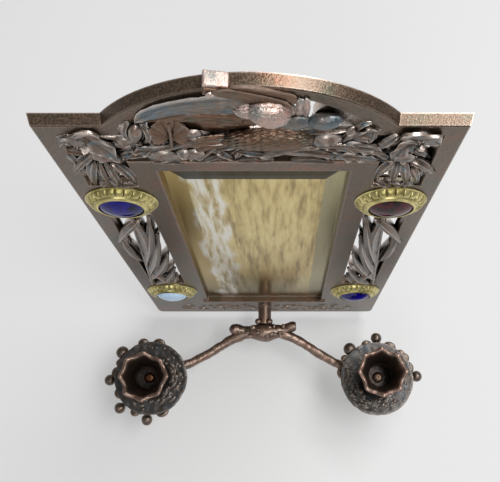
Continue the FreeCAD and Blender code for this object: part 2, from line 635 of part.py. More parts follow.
def countersunk_hole(x, z):
    """A screw's clearance through a plate that lies on the wall."""
    hole = rod(x, z, PLATE_SCREW_R + SCREW_CLEARANCE, -BACK_PLATE_T - OVERRUN, OVERRUN)
    r0, r1 = PLATE_SCREW_R + SCREW_CLEARANCE, PLATE_SCREW_HEAD_R + SCREW_CLEARANCE
    sink = Part.makeCone(r0, r1, PLATE_SCREW_HEAD_T, Vector(x, -PLATE_SCREW_HEAD_T, z), Y_AXIS)
    return [hole, sink]


def back_plate():
    """Sheet that closes the mirror's back, notched for the hanger."""
    x = INNER_X - PLATE_INSET
    sheet = box(-x, x, -BACK_PLATE_T, 0, FOOT_Z + PLATE_INSET, INNER_TOP_Z - PLATE_INSET)
    cuts = [hanger_outline_cut(GLASS_CLEARANCE)]
    for place in plate_screw_places():
        cuts += countersunk_hole(*place)
    return sheet.cut(Part.makeCompound(cuts))


def hanger():
    """Plate with the hole for a nail, screwed to the casting above the mirror."""
    foot_z = INNER_TOP_Z - FACE_CLEARANCE - HANGER_FOOT_H
    hole_z = foot_z + HANGER_HOLE_UP
    foot = box(-HANGER_W / 2, HANGER_W / 2, -BACK_PLATE_T, 0, foot_z, foot_z + HANGER_FOOT_H)
    tab = box(-HANGER_TAB_R, HANGER_TAB_R, -BACK_PLATE_T, 0, foot_z, hole_z)
    body = united([foot, tab, rod(0, hole_z, HANGER_TAB_R, -BACK_PLATE_T, 0)])
    cuts = [rod(0, hole_z, HANGER_HOLE_R, -BACK_PLATE_T - OVERRUN, OVERRUN)]
    for place in hanger_screw_places():
        cuts += countersunk_hole(*place)
    return body.cut(Part.makeCompound(cuts))


def flush_screws(places):
    """Slotted countersunk screws whose heads end flush with the plate."""
    screws = []
    for x, z in places:
        shank = rod(x, z, PLATE_SCREW_R, -PLATE_SCREW_LENGTH, -PLATE_SCREW_HEAD_T)
        head = Part.makeCone(PLATE_SCREW_R, PLATE_SCREW_HEAD_R, PLATE_SCREW_HEAD_T,
                             Vector(x, -PLATE_SCREW_HEAD_T, z), Y_AXIS)
        slot = box(x - PLATE_SCREW_HEAD_R * 2, x + PLATE_SCREW_HEAD_R * 2, -SLOT_DEPTH, OVERRUN,
                   z - SLOT_W / 2, z + SLOT_W / 2)
        screws.append(united([shank, head]).cut(slot))
    return Part.makeCompound(screws)


def bezel():
    """Gadrooned ring with a skirt that fits the frame's hole; y = 0 is the frame's face."""
    lip_back = BEZEL_RISE - BEZEL_LIP_T
    edge_r = BEZEL_R - BEZEL_EDGE_T
    ring = turned(Y_AXIS, (BEZEL_BORE_R, BEZEL_SKIRT_LENGTH), ((BEZEL_SKIRT_R, BEZEL_SKIRT_LENGTH),),
                  ((BEZEL_SKIRT_R, 0),), ((BEZEL_R, 0),),
                  ((BEZEL_R, -BEZEL_EDGE_T), (edge_r, -BEZEL_EDGE_T)),
                  ((BEZEL_BEAD_R + BEZEL_EDGE_T / 2, -BEZEL_BEAD_RISE + BEZEL_EDGE_T / 2),),
                  ((BEZEL_BEAD_R, -BEZEL_BEAD_RISE),), ((BEZEL_LIP_R, -BEZEL_RISE),),
                  ((BEZEL_LIP_R, -lip_back),), ((BEZEL_BORE_R, -lip_back),))
    inner = Vector(BEZEL_BEAD_R + BEZEL_EDGE_T, -BEZEL_BEAD_RISE + BEZEL_EDGE_T, 0)
    outer = Vector(edge_r, -BEZEL_EDGE_T, 0)
    groove = Part.makeCylinder(GROOVE_R, (outer - inner).Length, inner, outer - inner)
    cuts = []
    for k in range(GADROONS):
        copy = groove.copy()
        copy.rotate(Vector(0, 0, 0), Y_AXIS, 360 / GADROONS * k)
        cuts.append(copy)
    return ring.cut(Part.makeCompound(cuts))


def jewel():
    """Domed glass with a flange that the bezel's lip holds."""
    r = BEZEL_BORE_R - JEWEL_CLEARANCE
    dome_r = BEZEL_LIP_R - FACE_CLEARANCE
    front = BEZEL_RISE - BEZEL_LIP_T - FACE_CLEARANCE
    ball_r = (dome_r ** 2 + JEWEL_DOME ** 2) / (2 * JEWEL_DOME)
    half = math.asin(dome_r / ball_r) / 2
    middle = (ball_r * math.sin(half), -front - JEWEL_DOME + ball_r * (1 - math.cos(half)))
    return turned(Y_AXIS, (0, -front + JEWEL_FLANGE_T), ((r, -front + JEWEL_FLANGE_T),), ((r, -front),),
                  ((dome_r, -front),), (middle, (0, -front - JEWEL_DOME)))


def jewel_cup():
    """Foil-bright cup pressed into the skirt behind the glass."""
    front = -(BEZEL_RISE - BEZEL_LIP_T - FACE_CLEARANCE) + JEWEL_FLANGE_T + FACE_CLEARANCE
    r = BEZEL_BORE_R - FACE_CLEARANCE
    back = front + JEWEL_CUP_T
    deep = front + JEWEL_CUP_DEPTH
    return turned(Y_AXIS, (0, front), ((r, front),), ((r, deep),), ((r - JEWEL_CUP_T, deep),),
                  ((r - JEWEL_CUP_T, back),), ((0, back),))


def twig(nodes):
    """A smooth round twig through (place, radius) nodes."""
    places = [p for p, r in nodes]
    rings = []
    for i, (place, r) in enumerate(nodes):
        along = places[min(i + 1, len(nodes) - 1)] - places[max(i - 1, 0)]
        rings.append(Part.Wire(Part.makeCircle(r, place, along)))
    return Part.makeLoft(rings, True, False)


def cup_placement(side):
    """Where a cup's own frame lies: origin in the pan's rim plane on its axis, +Z along the axis."""
    lean = LEFT_LEAN if side == "left" else 0
    return FreeCAD.Placement(Vector(SIDES[side] * CUP_X, ahead(CUP_OUT), PAN_Z),
                             FreeCAD.Rotation(X_AXIS, lean))


def placed(shape, side):
    """A shape of the cup's own frame, put where it belongs."""
    shape = shape.copy()
    shape.Placement = cup_placement(side).multiply(shape.Placement)
    return shape


def arm_nodes(side, shares):
    """A twig from the hub to the boss under the cup."""
    sign = SIDES[side]
    start = Vector(sign * HUB_LENGTH / 4, ahead(HUB_OUT), STEM_Z)
    end = cup_placement(side).multVec(Vector(0, 0, BOSS_TOP - BOSS_H / 2))
    nodes = [(start, STUB_R)]
    for i, (along, out) in enumerate(shares):
        drop = ARM_SAG * math.sin(math.pi * along)
        point = Vector(start.x + (end.x - start.x) * along, start.y + (end.y - start.y) * out,
                       start.z + (end.z - start.z) * along - drop)
        nodes.append((point, KNOT_R if i % 2 else TWIG_R))
    return nodes + [(end, KNOT_R)]


def arm_bracket():
    """Branch casting: stud, stem, hub with two twig ends, and an arm to each cup."""
    y_back = -BACK_PLATE_T / 4
    stud = rod(0, STEM_Z, STUD_R, ahead(RUN_CLEARANCE), y_back)
    stem = rod(0, STEM_Z, STEM_R, ahead(STEM_LENGTH), ahead(RUN_CLEARANCE))
    half = HUB_LENGTH / 2
    bend = STUB_R * math.sqrt(0.5)
    wire = path(Vector(-STUB_REACH - STUB_R, 0, 0),
                (Vector(-STUB_REACH - bend, 0, bend), Vector(-STUB_REACH, 0, STUB_R)),
                (Vector(-half, 0, HUB_END_R),), (Vector(0, 0, HUB_R), Vector(half, 0, HUB_END_R)),
                (Vector(STUB_REACH, 0, STUB_R),), (Vector(STUB_REACH, 0, 0),))
    hub = Part.Face(wire).revolve(Vector(0, 0, 0), X_AXIS, 360)
    hub.translate(Vector(0, ahead(HUB_OUT), STEM_Z))
    parts = [stud, stem, hub]
    bores = []
    for side, shares in (("left", LEFT_ARM_SHARES), ("right", RIGHT_ARM_SHARES)):
        parts.append(twig(arm_nodes(side, shares)))
        parts.append(placed(post(BOSS_R, BOSS_TOP - BOSS_H, BOSS_TOP), side))
        bores.append(placed(post(SCREW_R + RUN_CLEARANCE, BOSS_TOP - SCREW_DEPTH - RUN_CLEARANCE,
                                 BOSS_TOP + CROWN_T), side))
        bores.append(placed(post(CROWN_DISK_R, BOSS_TOP, 0), side))
    return united(parts).cut(Part.makeCompound(bores))


def stem_washer():
    """Washer behind the bottom rail."""
    y0 = FRAME_BACK_Y + RUN_CLEARANCE
    return rod(0, STEM_Z, WASHER_R, y0, y0 + WASHER_T).cut(rod(0, STEM_Z, STUD_R, y0 - OVERRUN, OVERRUN))


def stem_nut():
    """Thin hexagon nut on the stud."""
    y0 = FRAME_BACK_Y + RUN_CLEARANCE + WASHER_T
    r = NUT_ACROSS / 2 / math.cos(math.pi / 6)
    corners = [flat(r * math.cos(math.pi / 3 * k), STEM_Z + r * math.sin(math.pi / 3 * k)) for k in range(6)]
    wire = path(corners[0], *[(c,) for c in corners[1:]])
    return prism(wire, y0, y0 + NUT_T).cut(rod(0, STEM_Z, STUD_R, y0 - OVERRUN, OVERRUN))


def ball_on_neck(foot, middle):
    """A ball on a round neck that starts at the foot."""
    up = middle - foot
    seat = math.sqrt(CROWN_BALL_R ** 2 - CROWN_NECK_R ** 2)
    side = (CROWN_BALL_R, up.Length)
    piece = turned(Z_AXIS, (0, 0), ((CROWN_NECK_R, 0),), ((CROWN_NECK_R, up.Length - seat),),
                   (side, (0, up.Length + CROWN_BALL_R)))
    piece.Placement = FreeCAD.Placement(foot, FreeCAD.Rotation(Z_AXIS, up))
    return piece


def crown(shift, knobs):
    """Gallery under the pan: eight ribs, some ending in balls, with a leaf tip between each two."""
    centre = Vector(shift[0], shift[1], 0)
    parts = [Part.makeCylinder(CROWN_DISK_R, CROWN_T, Vector(0, 0, BOSS_TOP), Z_AXIS)]
    for k in range(PETALS):
        a, b = 2 * math.pi / PETALS * k, 2 * math.pi / PETALS * (k + 0.5)
        out = Vector(math.cos(a), math.sin(a), 0)
        ball = centre + out * CROWN_REACH + Vector(0, 0, -CROWN_BALL_DROP)
        bend = centre + out * (CROWN_REACH * CROWN_BEND_SHARE) + Vector(0, 0, -CROWN_RIB_DROP)
        root = out * (CROWN_DISK_R * CROWN_ROOT_SHARE) + Vector(0, 0, -CROWN_RIB_DROP)
        rib = bend - root
        parts.append(Part.makeCylinder(CROWN_RIB_R, rib.Length + CROWN_NECK_R, root, rib))
        if k in knobs:
            parts.append(ball_on_neck(bend, ball))
        way = Vector(math.cos(b), math.sin(b), 0)
        across = way.cross(Z_AXIS) * (CROWN_LEAF_W / 2)
        base, tip = way * (CROWN_DISK_R * CROWN_ROOT_SHARE), centre + way * CROWN_REACH
        middle = (base + tip) / 2
        wire = path(base, (middle + across, tip), (middle - across, base))
        blade = Part.Face(wire).extrude(Vector(0, 0, CROWN_LEAF_T))
        blade.translate(Vector(0, 0, -CROWN_RIB_DROP))
        parts.append(blade)
    hole = post(SCREW_R + HOLE_CLEARANCE, BOSS_TOP - OVERRUN, CROWN_TOP + OVERRUN)
    seat = post(BOSS_R * 2, BOSS_TOP - BOSS_H, BOSS_TOP)
    return united(parts).cut(Part.makeCompound([hole, seat]))


def drip_pan():
    """Dished pan with a raised ring of relief and a rolled edge."""
    roll_r = PAN_R - PAN_ROLL_R
    low = -PAN_DEPTH
    ring = low + PAN_CROWN_RISE
    well = low + PAN_CROWN_RISE * PAN_WELL_SHARE
    hole = SCREW_R + HOLE_CLEARANCE
    foot = PAN_FLAT_R + PAN_T * PAN_FOOT_SHARE
    return turned(Z_AXIS, (hole, low - PAN_T), ((PAN_FLAT_R, low - PAN_T),), ((foot, low - PAN_T / 2),),
                  ((PAN_CROWN_R, ring - PAN_T),), ((PAN_WELL_R, well - PAN_T),),
                  ((roll_r, -2 * PAN_ROLL_R),),
                  ((PAN_R, -PAN_ROLL_R), (roll_r, 0)), ((roll_r - PAN_ROLL_R, -PAN_ROLL_R),),
                  ((PAN_WELL_R, well),), ((PAN_CROWN_R, ring),), ((foot, low + PAN_T / 2),),
                  ((PAN_FLAT_R, low),), ((hole, low),))


def candle_cup():
    """Tulip-shaped cup with a straight socket, a recess for the screw's head and a scalloped rim."""
    low = -PAN_DEPTH
    socket_top = SOCKET_FLOOR + SOCKET_LENGTH
    flare = socket_top + (CUP_H - socket_top) * FLARE_SHARE
    flare_r = (CUP_BARREL_R + CUP_RIM_R) / 2 - CUP_WALL
    waist = low + (SCREW_SEAT - low) * WAIST_SHARE
    hole = SCREW_R + SCREW_CLEARANCE
    inside = (flare_r - CUP_WALL / 2, flare + CUP_WALL / 2)
    cup = turned(Z_AXIS, (hole, low), ((CUP_FOOT_R, low),), ((CUP_FOOT_R, low + CUP_WALL),),
                 ((CUP_WAIST_R, waist),), ((CUP_BARREL_R, SCREW_SEAT + CUP_WALL),),
                 ((CUP_BARREL_R, socket_top),), ((flare_r + CUP_WALL / 2, flare), (CUP_RIM_R, CUP_H)),
                 ((CUP_RIM_R - CUP_WALL, CUP_H),),
                 (inside, (SOCKET_R + CUP_WALL / 3, socket_top + CUP_WALL)),
                 ((SOCKET_R, socket_top),), ((SOCKET_R, SOCKET_FLOOR),), ((SCREW_SEAT_R, SOCKET_FLOOR),),
                 ((SCREW_SEAT_R, SCREW_SEAT),), ((hole, SCREW_SEAT),))
    notches = []
    for k in range(PETALS):
        a = 2 * math.pi / PETALS * (k + 0.5)
        way = Vector(math.cos(a), math.sin(a), 0)
        at = Vector(0, 0, CUP_H + PETAL_NOTCH_R - PETAL_NOTCH_DEPTH) + way * (CUP_RIM_R / 2)
        notches.append(Part.makeCylinder(PETAL_NOTCH_R, CUP_RIM_R, at, way))
    return cup.cut(Part.makeCompound(notches))


def cup_screw():
    """Round-headed screw that clamps cup and pan to the arm."""
    low = BOSS_TOP - SCREW_DEPTH
    head = SCREW_SEAT + SCREW_HEAD_T
    dome = (SCREW_HEAD_R * SCREW_DOME_SHARES[0], head - SCREW_HEAD_T * SCREW_DOME_SHARES[1])
    screw = turned(Z_AXIS, (0, low), ((SCREW_R, low),), ((SCREW_R, SCREW_SEAT),),
                   ((SCREW_HEAD_R, SCREW_SEAT),), ((SCREW_HEAD_R, SCREW_SEAT + SCREW_HEAD_T / 2),),
                   (dome, (0, head)))
    return screw.cut(post(SCREW_DIMPLE_R, SCREW_SEAT + SCREW_HEAD_T / 2, head + OVERRUN))


def at_jewel(shape, place):
    """A jewel piece moved to its seat."""
    shape = shape.copy()
    shape.translate(Vector(place[0], FRONT_Y, place[1]))
    return shape


def build():
    """Every node of the sconce by name."""
    nodes = {
        "frame_casting": frame_casting(), "upper_spray": upper_spray(),
        "left_leaf_panel": side_panel(-1), "right_leaf_panel": side_panel(1),
        "panel_rivets": panel_rivets(), "bird": bird(), "bird_pins": bird_pins(),
        "mirror_glass": mirror_glass(), "mirror_backing": mirror_backing(),
        "back_plate": back_plate(), "back_plate_screws": flush_screws(plate_screw_places()),
        "hanger": hanger(), "hanger_screws": flush_screws(hanger_screw_places()),
        "arm_bracket": arm_bracket(), "stem_washer": stem_washer(), "stem_nut": stem_nut(),
    }
    ring, glass, cup = bezel(), jewel(), jewel_cup()
    for name, place in jewel_places().items():
        nodes[f"{name}_bezel"] = at_jewel(ring, place)
        nodes[f"{name}_jewel"] = at_jewel(glass, place)
        nodes[f"{name}_jewel_cup"] = at_jewel(cup, place)
    pan, holder, screw = drip_pan(), candle_cup(), cup_screw()
    crowns = {"left": (LEFT_CROWN_SHIFT, LEFT_KNOBS), "right": (RIGHT_CROWN_SHIFT, RIGHT_KNOBS)}
    for side, (shift, knobs) in crowns.items():
        nodes[f"{side}_crown"] = placed(crown(shift, knobs), side)
        nodes[f"{side}_drip_pan"] = placed(pan, side)
        nodes[f"{side}_candle_cup"] = placed(holder, side)
        nodes[f"{side}_cup_screw"] = placed(screw, side)
    return nodes


os.makedirs("parts", exist_ok=True)
for node, shape in build().items():
    shape.exportStep(f"parts/{node}.step")
    print(node, len(shape.Solids), "valid" if shape.isValid() else "INVALID", round(shape.Volume, 1))
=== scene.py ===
"""Looks of a cast mirror sconce with two candle cups.

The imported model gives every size, place and moving body. This script carves, chases and finishes the
castings, and sets the floor, the light and the camera. Shapes are drawn in millimetres and settle into
the model's metres at the end.
"""
import json
import logging
import math
import random
from contextlib import contextmanager
from dataclasses import dataclass
from enum import Enum, auto
from typing import Iterator, Sequence

import bpy
import numpy as np
from mathutils import Matrix, Vector, noise


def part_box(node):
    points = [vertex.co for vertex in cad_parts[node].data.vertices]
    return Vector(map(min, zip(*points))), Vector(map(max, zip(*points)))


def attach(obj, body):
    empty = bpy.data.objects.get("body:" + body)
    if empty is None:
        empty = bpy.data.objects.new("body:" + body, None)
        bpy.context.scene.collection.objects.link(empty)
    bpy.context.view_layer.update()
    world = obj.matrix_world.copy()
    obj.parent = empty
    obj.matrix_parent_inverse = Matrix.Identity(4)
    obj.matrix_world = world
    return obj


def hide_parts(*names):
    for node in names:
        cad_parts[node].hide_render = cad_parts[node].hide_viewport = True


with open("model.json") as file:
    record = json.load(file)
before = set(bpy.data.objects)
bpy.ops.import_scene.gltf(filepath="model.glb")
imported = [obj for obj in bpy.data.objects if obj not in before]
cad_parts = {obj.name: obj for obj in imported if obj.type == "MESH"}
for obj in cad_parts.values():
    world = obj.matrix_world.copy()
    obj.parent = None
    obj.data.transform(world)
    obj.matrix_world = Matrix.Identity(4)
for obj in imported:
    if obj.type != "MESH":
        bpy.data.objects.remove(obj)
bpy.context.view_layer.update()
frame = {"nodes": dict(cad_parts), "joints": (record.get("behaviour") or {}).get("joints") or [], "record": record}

LOG = logging.getLogger("sconce")
MM = 0.001
JOINTS = {joint["name"]: joint for joint in frame["joints"]}

# Types, by shorter names
Piece = bpy.types.Object
Material = bpy.types.Material
Socket = bpy.types.NodeSocket
Place = tuple[float, float, float]
Profile = Sequence[tuple[float, float]]

# Reference planes, in millimetres, worked out from the model
STEM_DROP = 395.0                        # from the ears' top to the branch's axis
FRONT_Y = JOINTS["branch_turn"]["pos_m"][1] / MM
STEM_Z = JOINTS["branch_turn"]["pos_m"][2] / MM
EARS_Z = STEM_Z + STEM_DROP

# Camera, from the photograph's perspective
EYE = Vector((15.0, -185.9, 539.1))      # millimetres
PITCH = 71.075                           # degrees below the horizon
SENSOR = 36.0
FOCAL_PIXELS = 700.0
PICTURE_W = 500.0
AXIS_X = 279.0                           # pixel column of the optical axis
READING_OUT = 3.0                        # depth of the plane that outlines are read on


def at(x: float, drop: float, out: float) -> Vector:
    """A place from its x, its drop below the ears' top and how far it stands out from the face."""
    return Vector((x, FRONT_Y - out, EARS_Z - drop))


def seen(x: float, drop: float, out: float) -> Vector:
    """A place at depth out on the sight line through (x, drop) of the reading plane.

    Args:
        x: millimetres to the right of the centreline, as read.
        drop: millimetres below the ears' top, as read.
        out: how far in front of the frame's face the place really lies.

    Returns:
        The place in the model's axes, in millimetres.
    """
    read = at(x, drop, READING_OUT)
    share = (FRONT_Y - out - EYE.y) / (read.y - EYE.y)
    return EYE + (read - EYE) * share


class Slot(Enum):
    """The record's material slots."""

    FRAME = "frame_bronze"
    LEAF = "leaf_bronze"
    BIRD = "bird_bronze"
    BRANCH = "branch_bronze"
    PAN = "pan_bronze"
    CUP = "cup_bronze"
    BEZEL = "bezel_brass"
    SCREW = "screw_brass"
    TIN = "foil_tin"
    WIRE = "steel_wire"
    SHEET = "sheet_steel"
    MIRROR = "mirror"
    BOARD = "board"
    COBALT = "cobalt_glass"
    RUBY = "ruby_glass"
    OPAL = "opal_glass"


class Blade(Enum):
    """Kinds of carved leaf."""

    LANCE = auto()       # long, with a midrib and curled edges
    LOBED = auto()       # broad, with side veins
    FAN = auto()         # spreads to a scalloped end
    MOUND = auto()       # plain swelling, as a pebble or a rose's heart
    POD = auto()         # swelling with cross ribs
    FEATHER = auto()     # round-ended, with fine barbs
    STALK = auto()       # half-round twig


class Skin(Enum):
    """Kinds of plumage on the bird's rounded parts."""

    SCALES = auto()      # rows of overlapping scale feathers
    FLUTES = auto()      # grooves along the shoulder
    DOWN = auto()        # smooth


LANCE, LOBED, FAN, MOUND, POD, FEATHER, STALK = Blade
Rows = Sequence[tuple[Blade | float | Place, ...]]      # the fields of a Leaf, row by row

# How the leaves are carved
FAN_SPREAD = math.radians(142)           # half of a fan leaf's opening
FAN_RIBS = 7
FAN_TEETH = 21
POD_RIBS = 4.0
FACE_LIFT = 3                            # the lift of a place in the frame's face
LIFT_MM = 0.5                            # one unit of lift
CHISEL_MM = 3.6                          # size of the dents that carving leaves
LEAF_ROWS = 20                           # faces along a leaf
LEAF_COLUMNS = 12                        # and across it
FAN_COLUMNS = 56


def linear(code: str) -> tuple[float, float, float, float]:
    """A linear colour with full alpha from an sRGB hex value such as #6b5a4d."""
    values = [int(code[i:i + 2], 16) / 255 for i in (1, 3, 5)]
    return (*[v / 12.92 if v <= 0.04045 else ((v + 0.055) / 1.055) ** 2.4 for v in values], 1.0)


class Recipe:
    """One material in the making."""

    def __init__(self, name: str) -> None:
        """Starts a material with an empty node tree."""
        self.material = bpy.data.materials.new(name)
        self.material.use_nodes = True
        self.tree = self.material.node_tree
        self.tree.nodes.clear()

    def add(self, kind: str, settings: dict | None = None, links: dict | None = None,
            out: str | int = 0) -> Socket | None:
        """Adds one node.

        Args:
            kind: the node's type, without the ShaderNode in front.
            settings: attributes by name, input values by input name or number, and a ramp's stops
                of (place, hex colour). Hex colours are turned to linear.
            links: output sockets by the name or number of the input that they feed.
            out: the name or number of the output that is wanted.

        Returns:
            The output's socket, or None for a node that has none.
        """
        made = self.tree.nodes.new(f"ShaderNode{kind}")
        for name, value in (settings or {}).items():
            if name == "stops":
                elements = made.color_ramp.elements
                while len(elements) < len(value):
                    elements.new(0.5)
                for element, (place, colour) in zip(elements, value):
                    element.position = place
                    element.color = linear(colour)
            elif isinstance(name, str) and hasattr(made, name):
                setattr(made, name, value)
            else:
                made.inputs[name].default_value = linear(value) if isinstance(value, str) else value
        for name, socket in (links or {}).items():
            self.tree.links.new(socket, made.inputs[name])
        return made.outputs[out] if len(made.outputs) else None

    def close(self, colour: Socket, coats: Sequence[tuple[Socket, str]],
              settings: dict, links: dict | None = None) -> Material:
        """Lays coats on the ground colour and adds the shader.

        Args:
            colour: the ground colour.
            coats: share and hex colour of each coat, the lowest first.
            settings: the shader's own values.
            links: what feeds the shader besides its colour.

        Returns:
            The finished material.
        """
        for share, tone in coats:
            colour = self.add("Mix", {"data_type": "RGBA", "B": tone}, {"Factor": share, "A": colour},
                              "Result")
        shader = self.add("BsdfPrincipled", settings, {"Base Color": colour, **(links or {})})
        self.add("OutputMaterial", None, {"Surface": shader})
        return self.material


@dataclass(frozen=True)
class CastBronze:
    """Sand-cast iron, bronzed in a chemical bath: brown, with verdigris in the hollows.

    The bath leaves thin warm and cool patches, the sand leaves a fine grit that breaks up every
    highlight, soot and wax gather in the hollows with painted shade, and hands rub the high places
    and edges to pinkish metal, which also carries a painted highlight.
    """

    name: str
    body: str                     # bronzed skin
    warm: str                     # coppery patches
    cool: str                     # green-grey patches
    patch_mm: float = 28.0        # size of the patches
    grit_mm: float = 0.9          # sand grain, coarser than the real 0.2 so that it shows
    grit_depth: float = 0.14
    speckle: float = 0.4          # how much the grit shows in the colour
    roughness: float = 0.42
    metallic: float = 0.85
    hollow: str = "#14130f"       # soot and wax in the hollows, with painted shade
    hollow_soot_and_shade_mm: float = 0.0        # reach of the hollows' darkening by ambient occlusion, soot and painted shade, or none
    hollow_soot_and_shade_share: float = 0.9
    ridge: str = "#b39a8a"        # worn high places and edges, with a painted highlight
    ridge_wear_and_highlight: float = 0.0             # share of the high places worn to bare metal, also painted highlight
    edge_mm: float = 0.0          # width of the worn line along a straight edge, also a painted highlight, or none
    edge_share: float = 0.75
    wax: float = 0.6              # clear wax over all, which takes a white sheen
    wax_roughness: float = 0.24

    def build(self) -> Material:
        """The finished material."""
        work = Recipe(self.name)
        place = work.add("TexCoord", out="Object")
        patches = work.add("TexNoise", {"Scale": 1 / (self.patch_mm * MM), "Detail": 5.0, "Roughness": 0.62},
                           {"Vector": place})
        skin = [(0.34, self.cool), (0.47, self.body), (0.54, self.body), (0.66, self.warm)]
        colour = work.add("ValToRGB", {"stops": skin}, {"Fac": patches})
        grit = work.add("TexNoise", {"Scale": 1 / (self.grit_mm * MM), "Detail": 3.0, "Roughness": 0.7},
                        {"Vector": place})
        greys = [(0.32, "#404040"), (0.5, "#808080"), (0.68, "#c4c4c4")]
        speck = work.add("ValToRGB", {"stops": greys}, {"Fac": grit})
        colour = work.add("Mix", {"data_type": "RGBA", "blend_type": "OVERLAY", "Factor": self.speckle},
                          {"A": colour, "B": speck}, "Result")
        coats = []
        # High places lightened: worn metal and a painted highlight
        if self.ridge_wear_and_highlight:
            edge = work.add("NewGeometry", out="Pointiness")
            high = work.add("MapRange", {"From Min": 0.51, "From Max": 0.60, "To Max": self.ridge_wear_and_highlight},
                            {"Value": edge})
            coats.append((high, self.ridge))
        # Straight edges lightened: a worn line and a painted highlight
        if self.edge_mm:
            flat = work.add("NewGeometry", out="Normal")
            rounded = work.add("Bevel", {"samples": 6, "Radius": self.edge_mm * MM})
            same = work.add("VectorMath", {"operation": "DOT_PRODUCT"}, {0: flat, 1: rounded}, "Value")
            rubbed_and_highlight = work.add("MapRange", {"From Min": 0.99, "From Max": 0.86, "To Max": self.edge_share},
                              {"Value": same})
            coats.append((rubbed_and_highlight, self.ridge))
        # Hollows darkened by ambient occlusion: soot and painted shade
        if self.hollow_soot_and_shade_mm:
            open_share = work.add("AmbientOcclusion", {"samples": 6, "Distance": self.hollow_soot_and_shade_mm * MM},
                                  out="AO")
            low = work.add("MapRange", {"From Min": 0.85, "From Max": 0.30, "To Max": self.hollow_soot_and_shade_share},
                           {"Value": open_share})
            coats.append((low, self.hollow))
        rough = work.add("MapRange", {"From Min": 0.3, "From Max": 0.7, "To Min": self.roughness - 0.08,
                                      "To Max": self.roughness + 0.12}, {"Value": grit})
        bump = work.add("Bump", {"Strength": 1.0, "Distance": self.grit_depth * MM}, {"Height": grit})
        return work.close(colour, coats, {"Metallic": self.metallic, "Coat Weight": self.wax,
                                          "Coat Roughness": self.wax_roughness},
                          {"Roughness": rough, "Normal": bump, "Coat Normal": bump})


@dataclass(frozen=True)
class AgedBrass:
    """Stamped brass, lacquer long gone: bright lobes, olive tarnish and brown wax in the grooves, darkened there
    with painted shade.
    """

    name: str = "aged_stamped_brass"
    bright: str = "#dccf92"
    tarnish: str = "#a3975c"
    # brown of the wax in the grooves, laid by ambient occlusion as painted shade too
    wax: str = "#2c2812"
    patch_mm: float = 9.0
    groove_wax_and_shade_mm: float = 1.4
    roughness: float = 0.30

    def build(self) -> Material:
        """The finished material."""
        work = Recipe(self.name)
        cloud = work.add("TexNoise", {"Scale": 1 / (self.patch_mm * MM), "Detail": 4.0, "Roughness": 0.6},
                         {"Vector": work.add("TexCoord", out="Object")})
        colour = work.add("ValToRGB", {"stops": [(0.36, self.tarnish), (0.60, self.bright)]}, {"Fac": cloud})
        # Grooves darkened by ambient occlusion: wax and painted shade
        open_share = work.add("AmbientOcclusion", {"samples": 6, "Distance": self.groove_wax_and_shade_mm * MM}, out="AO")
        low = work.add("MapRange", {"From Min": 0.9, "From Max": 0.45, "To Max": 0.9}, {"Value": open_share})
        rough = work.add("MapRange", {"To Min": self.roughness + 0.15, "To Max": self.roughness - 0.06},
                         {"Value": cloud})
        return work.close(colour, [(low, self.wax)], {"Metallic": 1.0}, {"Roughness": rough})


@dataclass(frozen=True)
class JewelGlass:
    """Pressed glass, polished: deep colour that glows where light gathers near the edge."""

    name: str
    colour: str
    roughness: float = 0.04
    transmission: float = 0.8
    swirl_mm: float = 7.0
    deep: str = "#05030f"
    sheen: float = 0.22           # old polish takes less light than new

    def build(self) -> Material:
        """The finished material."""
        work = Recipe(self.name)
        swirl = work.add("TexNoise", {"Scale": 1 / (self.swirl_mm * MM), "Detail": 2.0, "Distortion": 1.2},
                         {"Vector": work.add("TexCoord", out="Object")})
        colour = work.add("ValToRGB", {"stops": [(0.35, self.deep), (0.58, self.colour)]}, {"Fac": swirl})
        return work.close(colour, [], {"Transmission Weight": self.transmission, "IOR": 1.52,
                                       "Roughness": self.roughness, "Specular IOR Level": self.sheen})


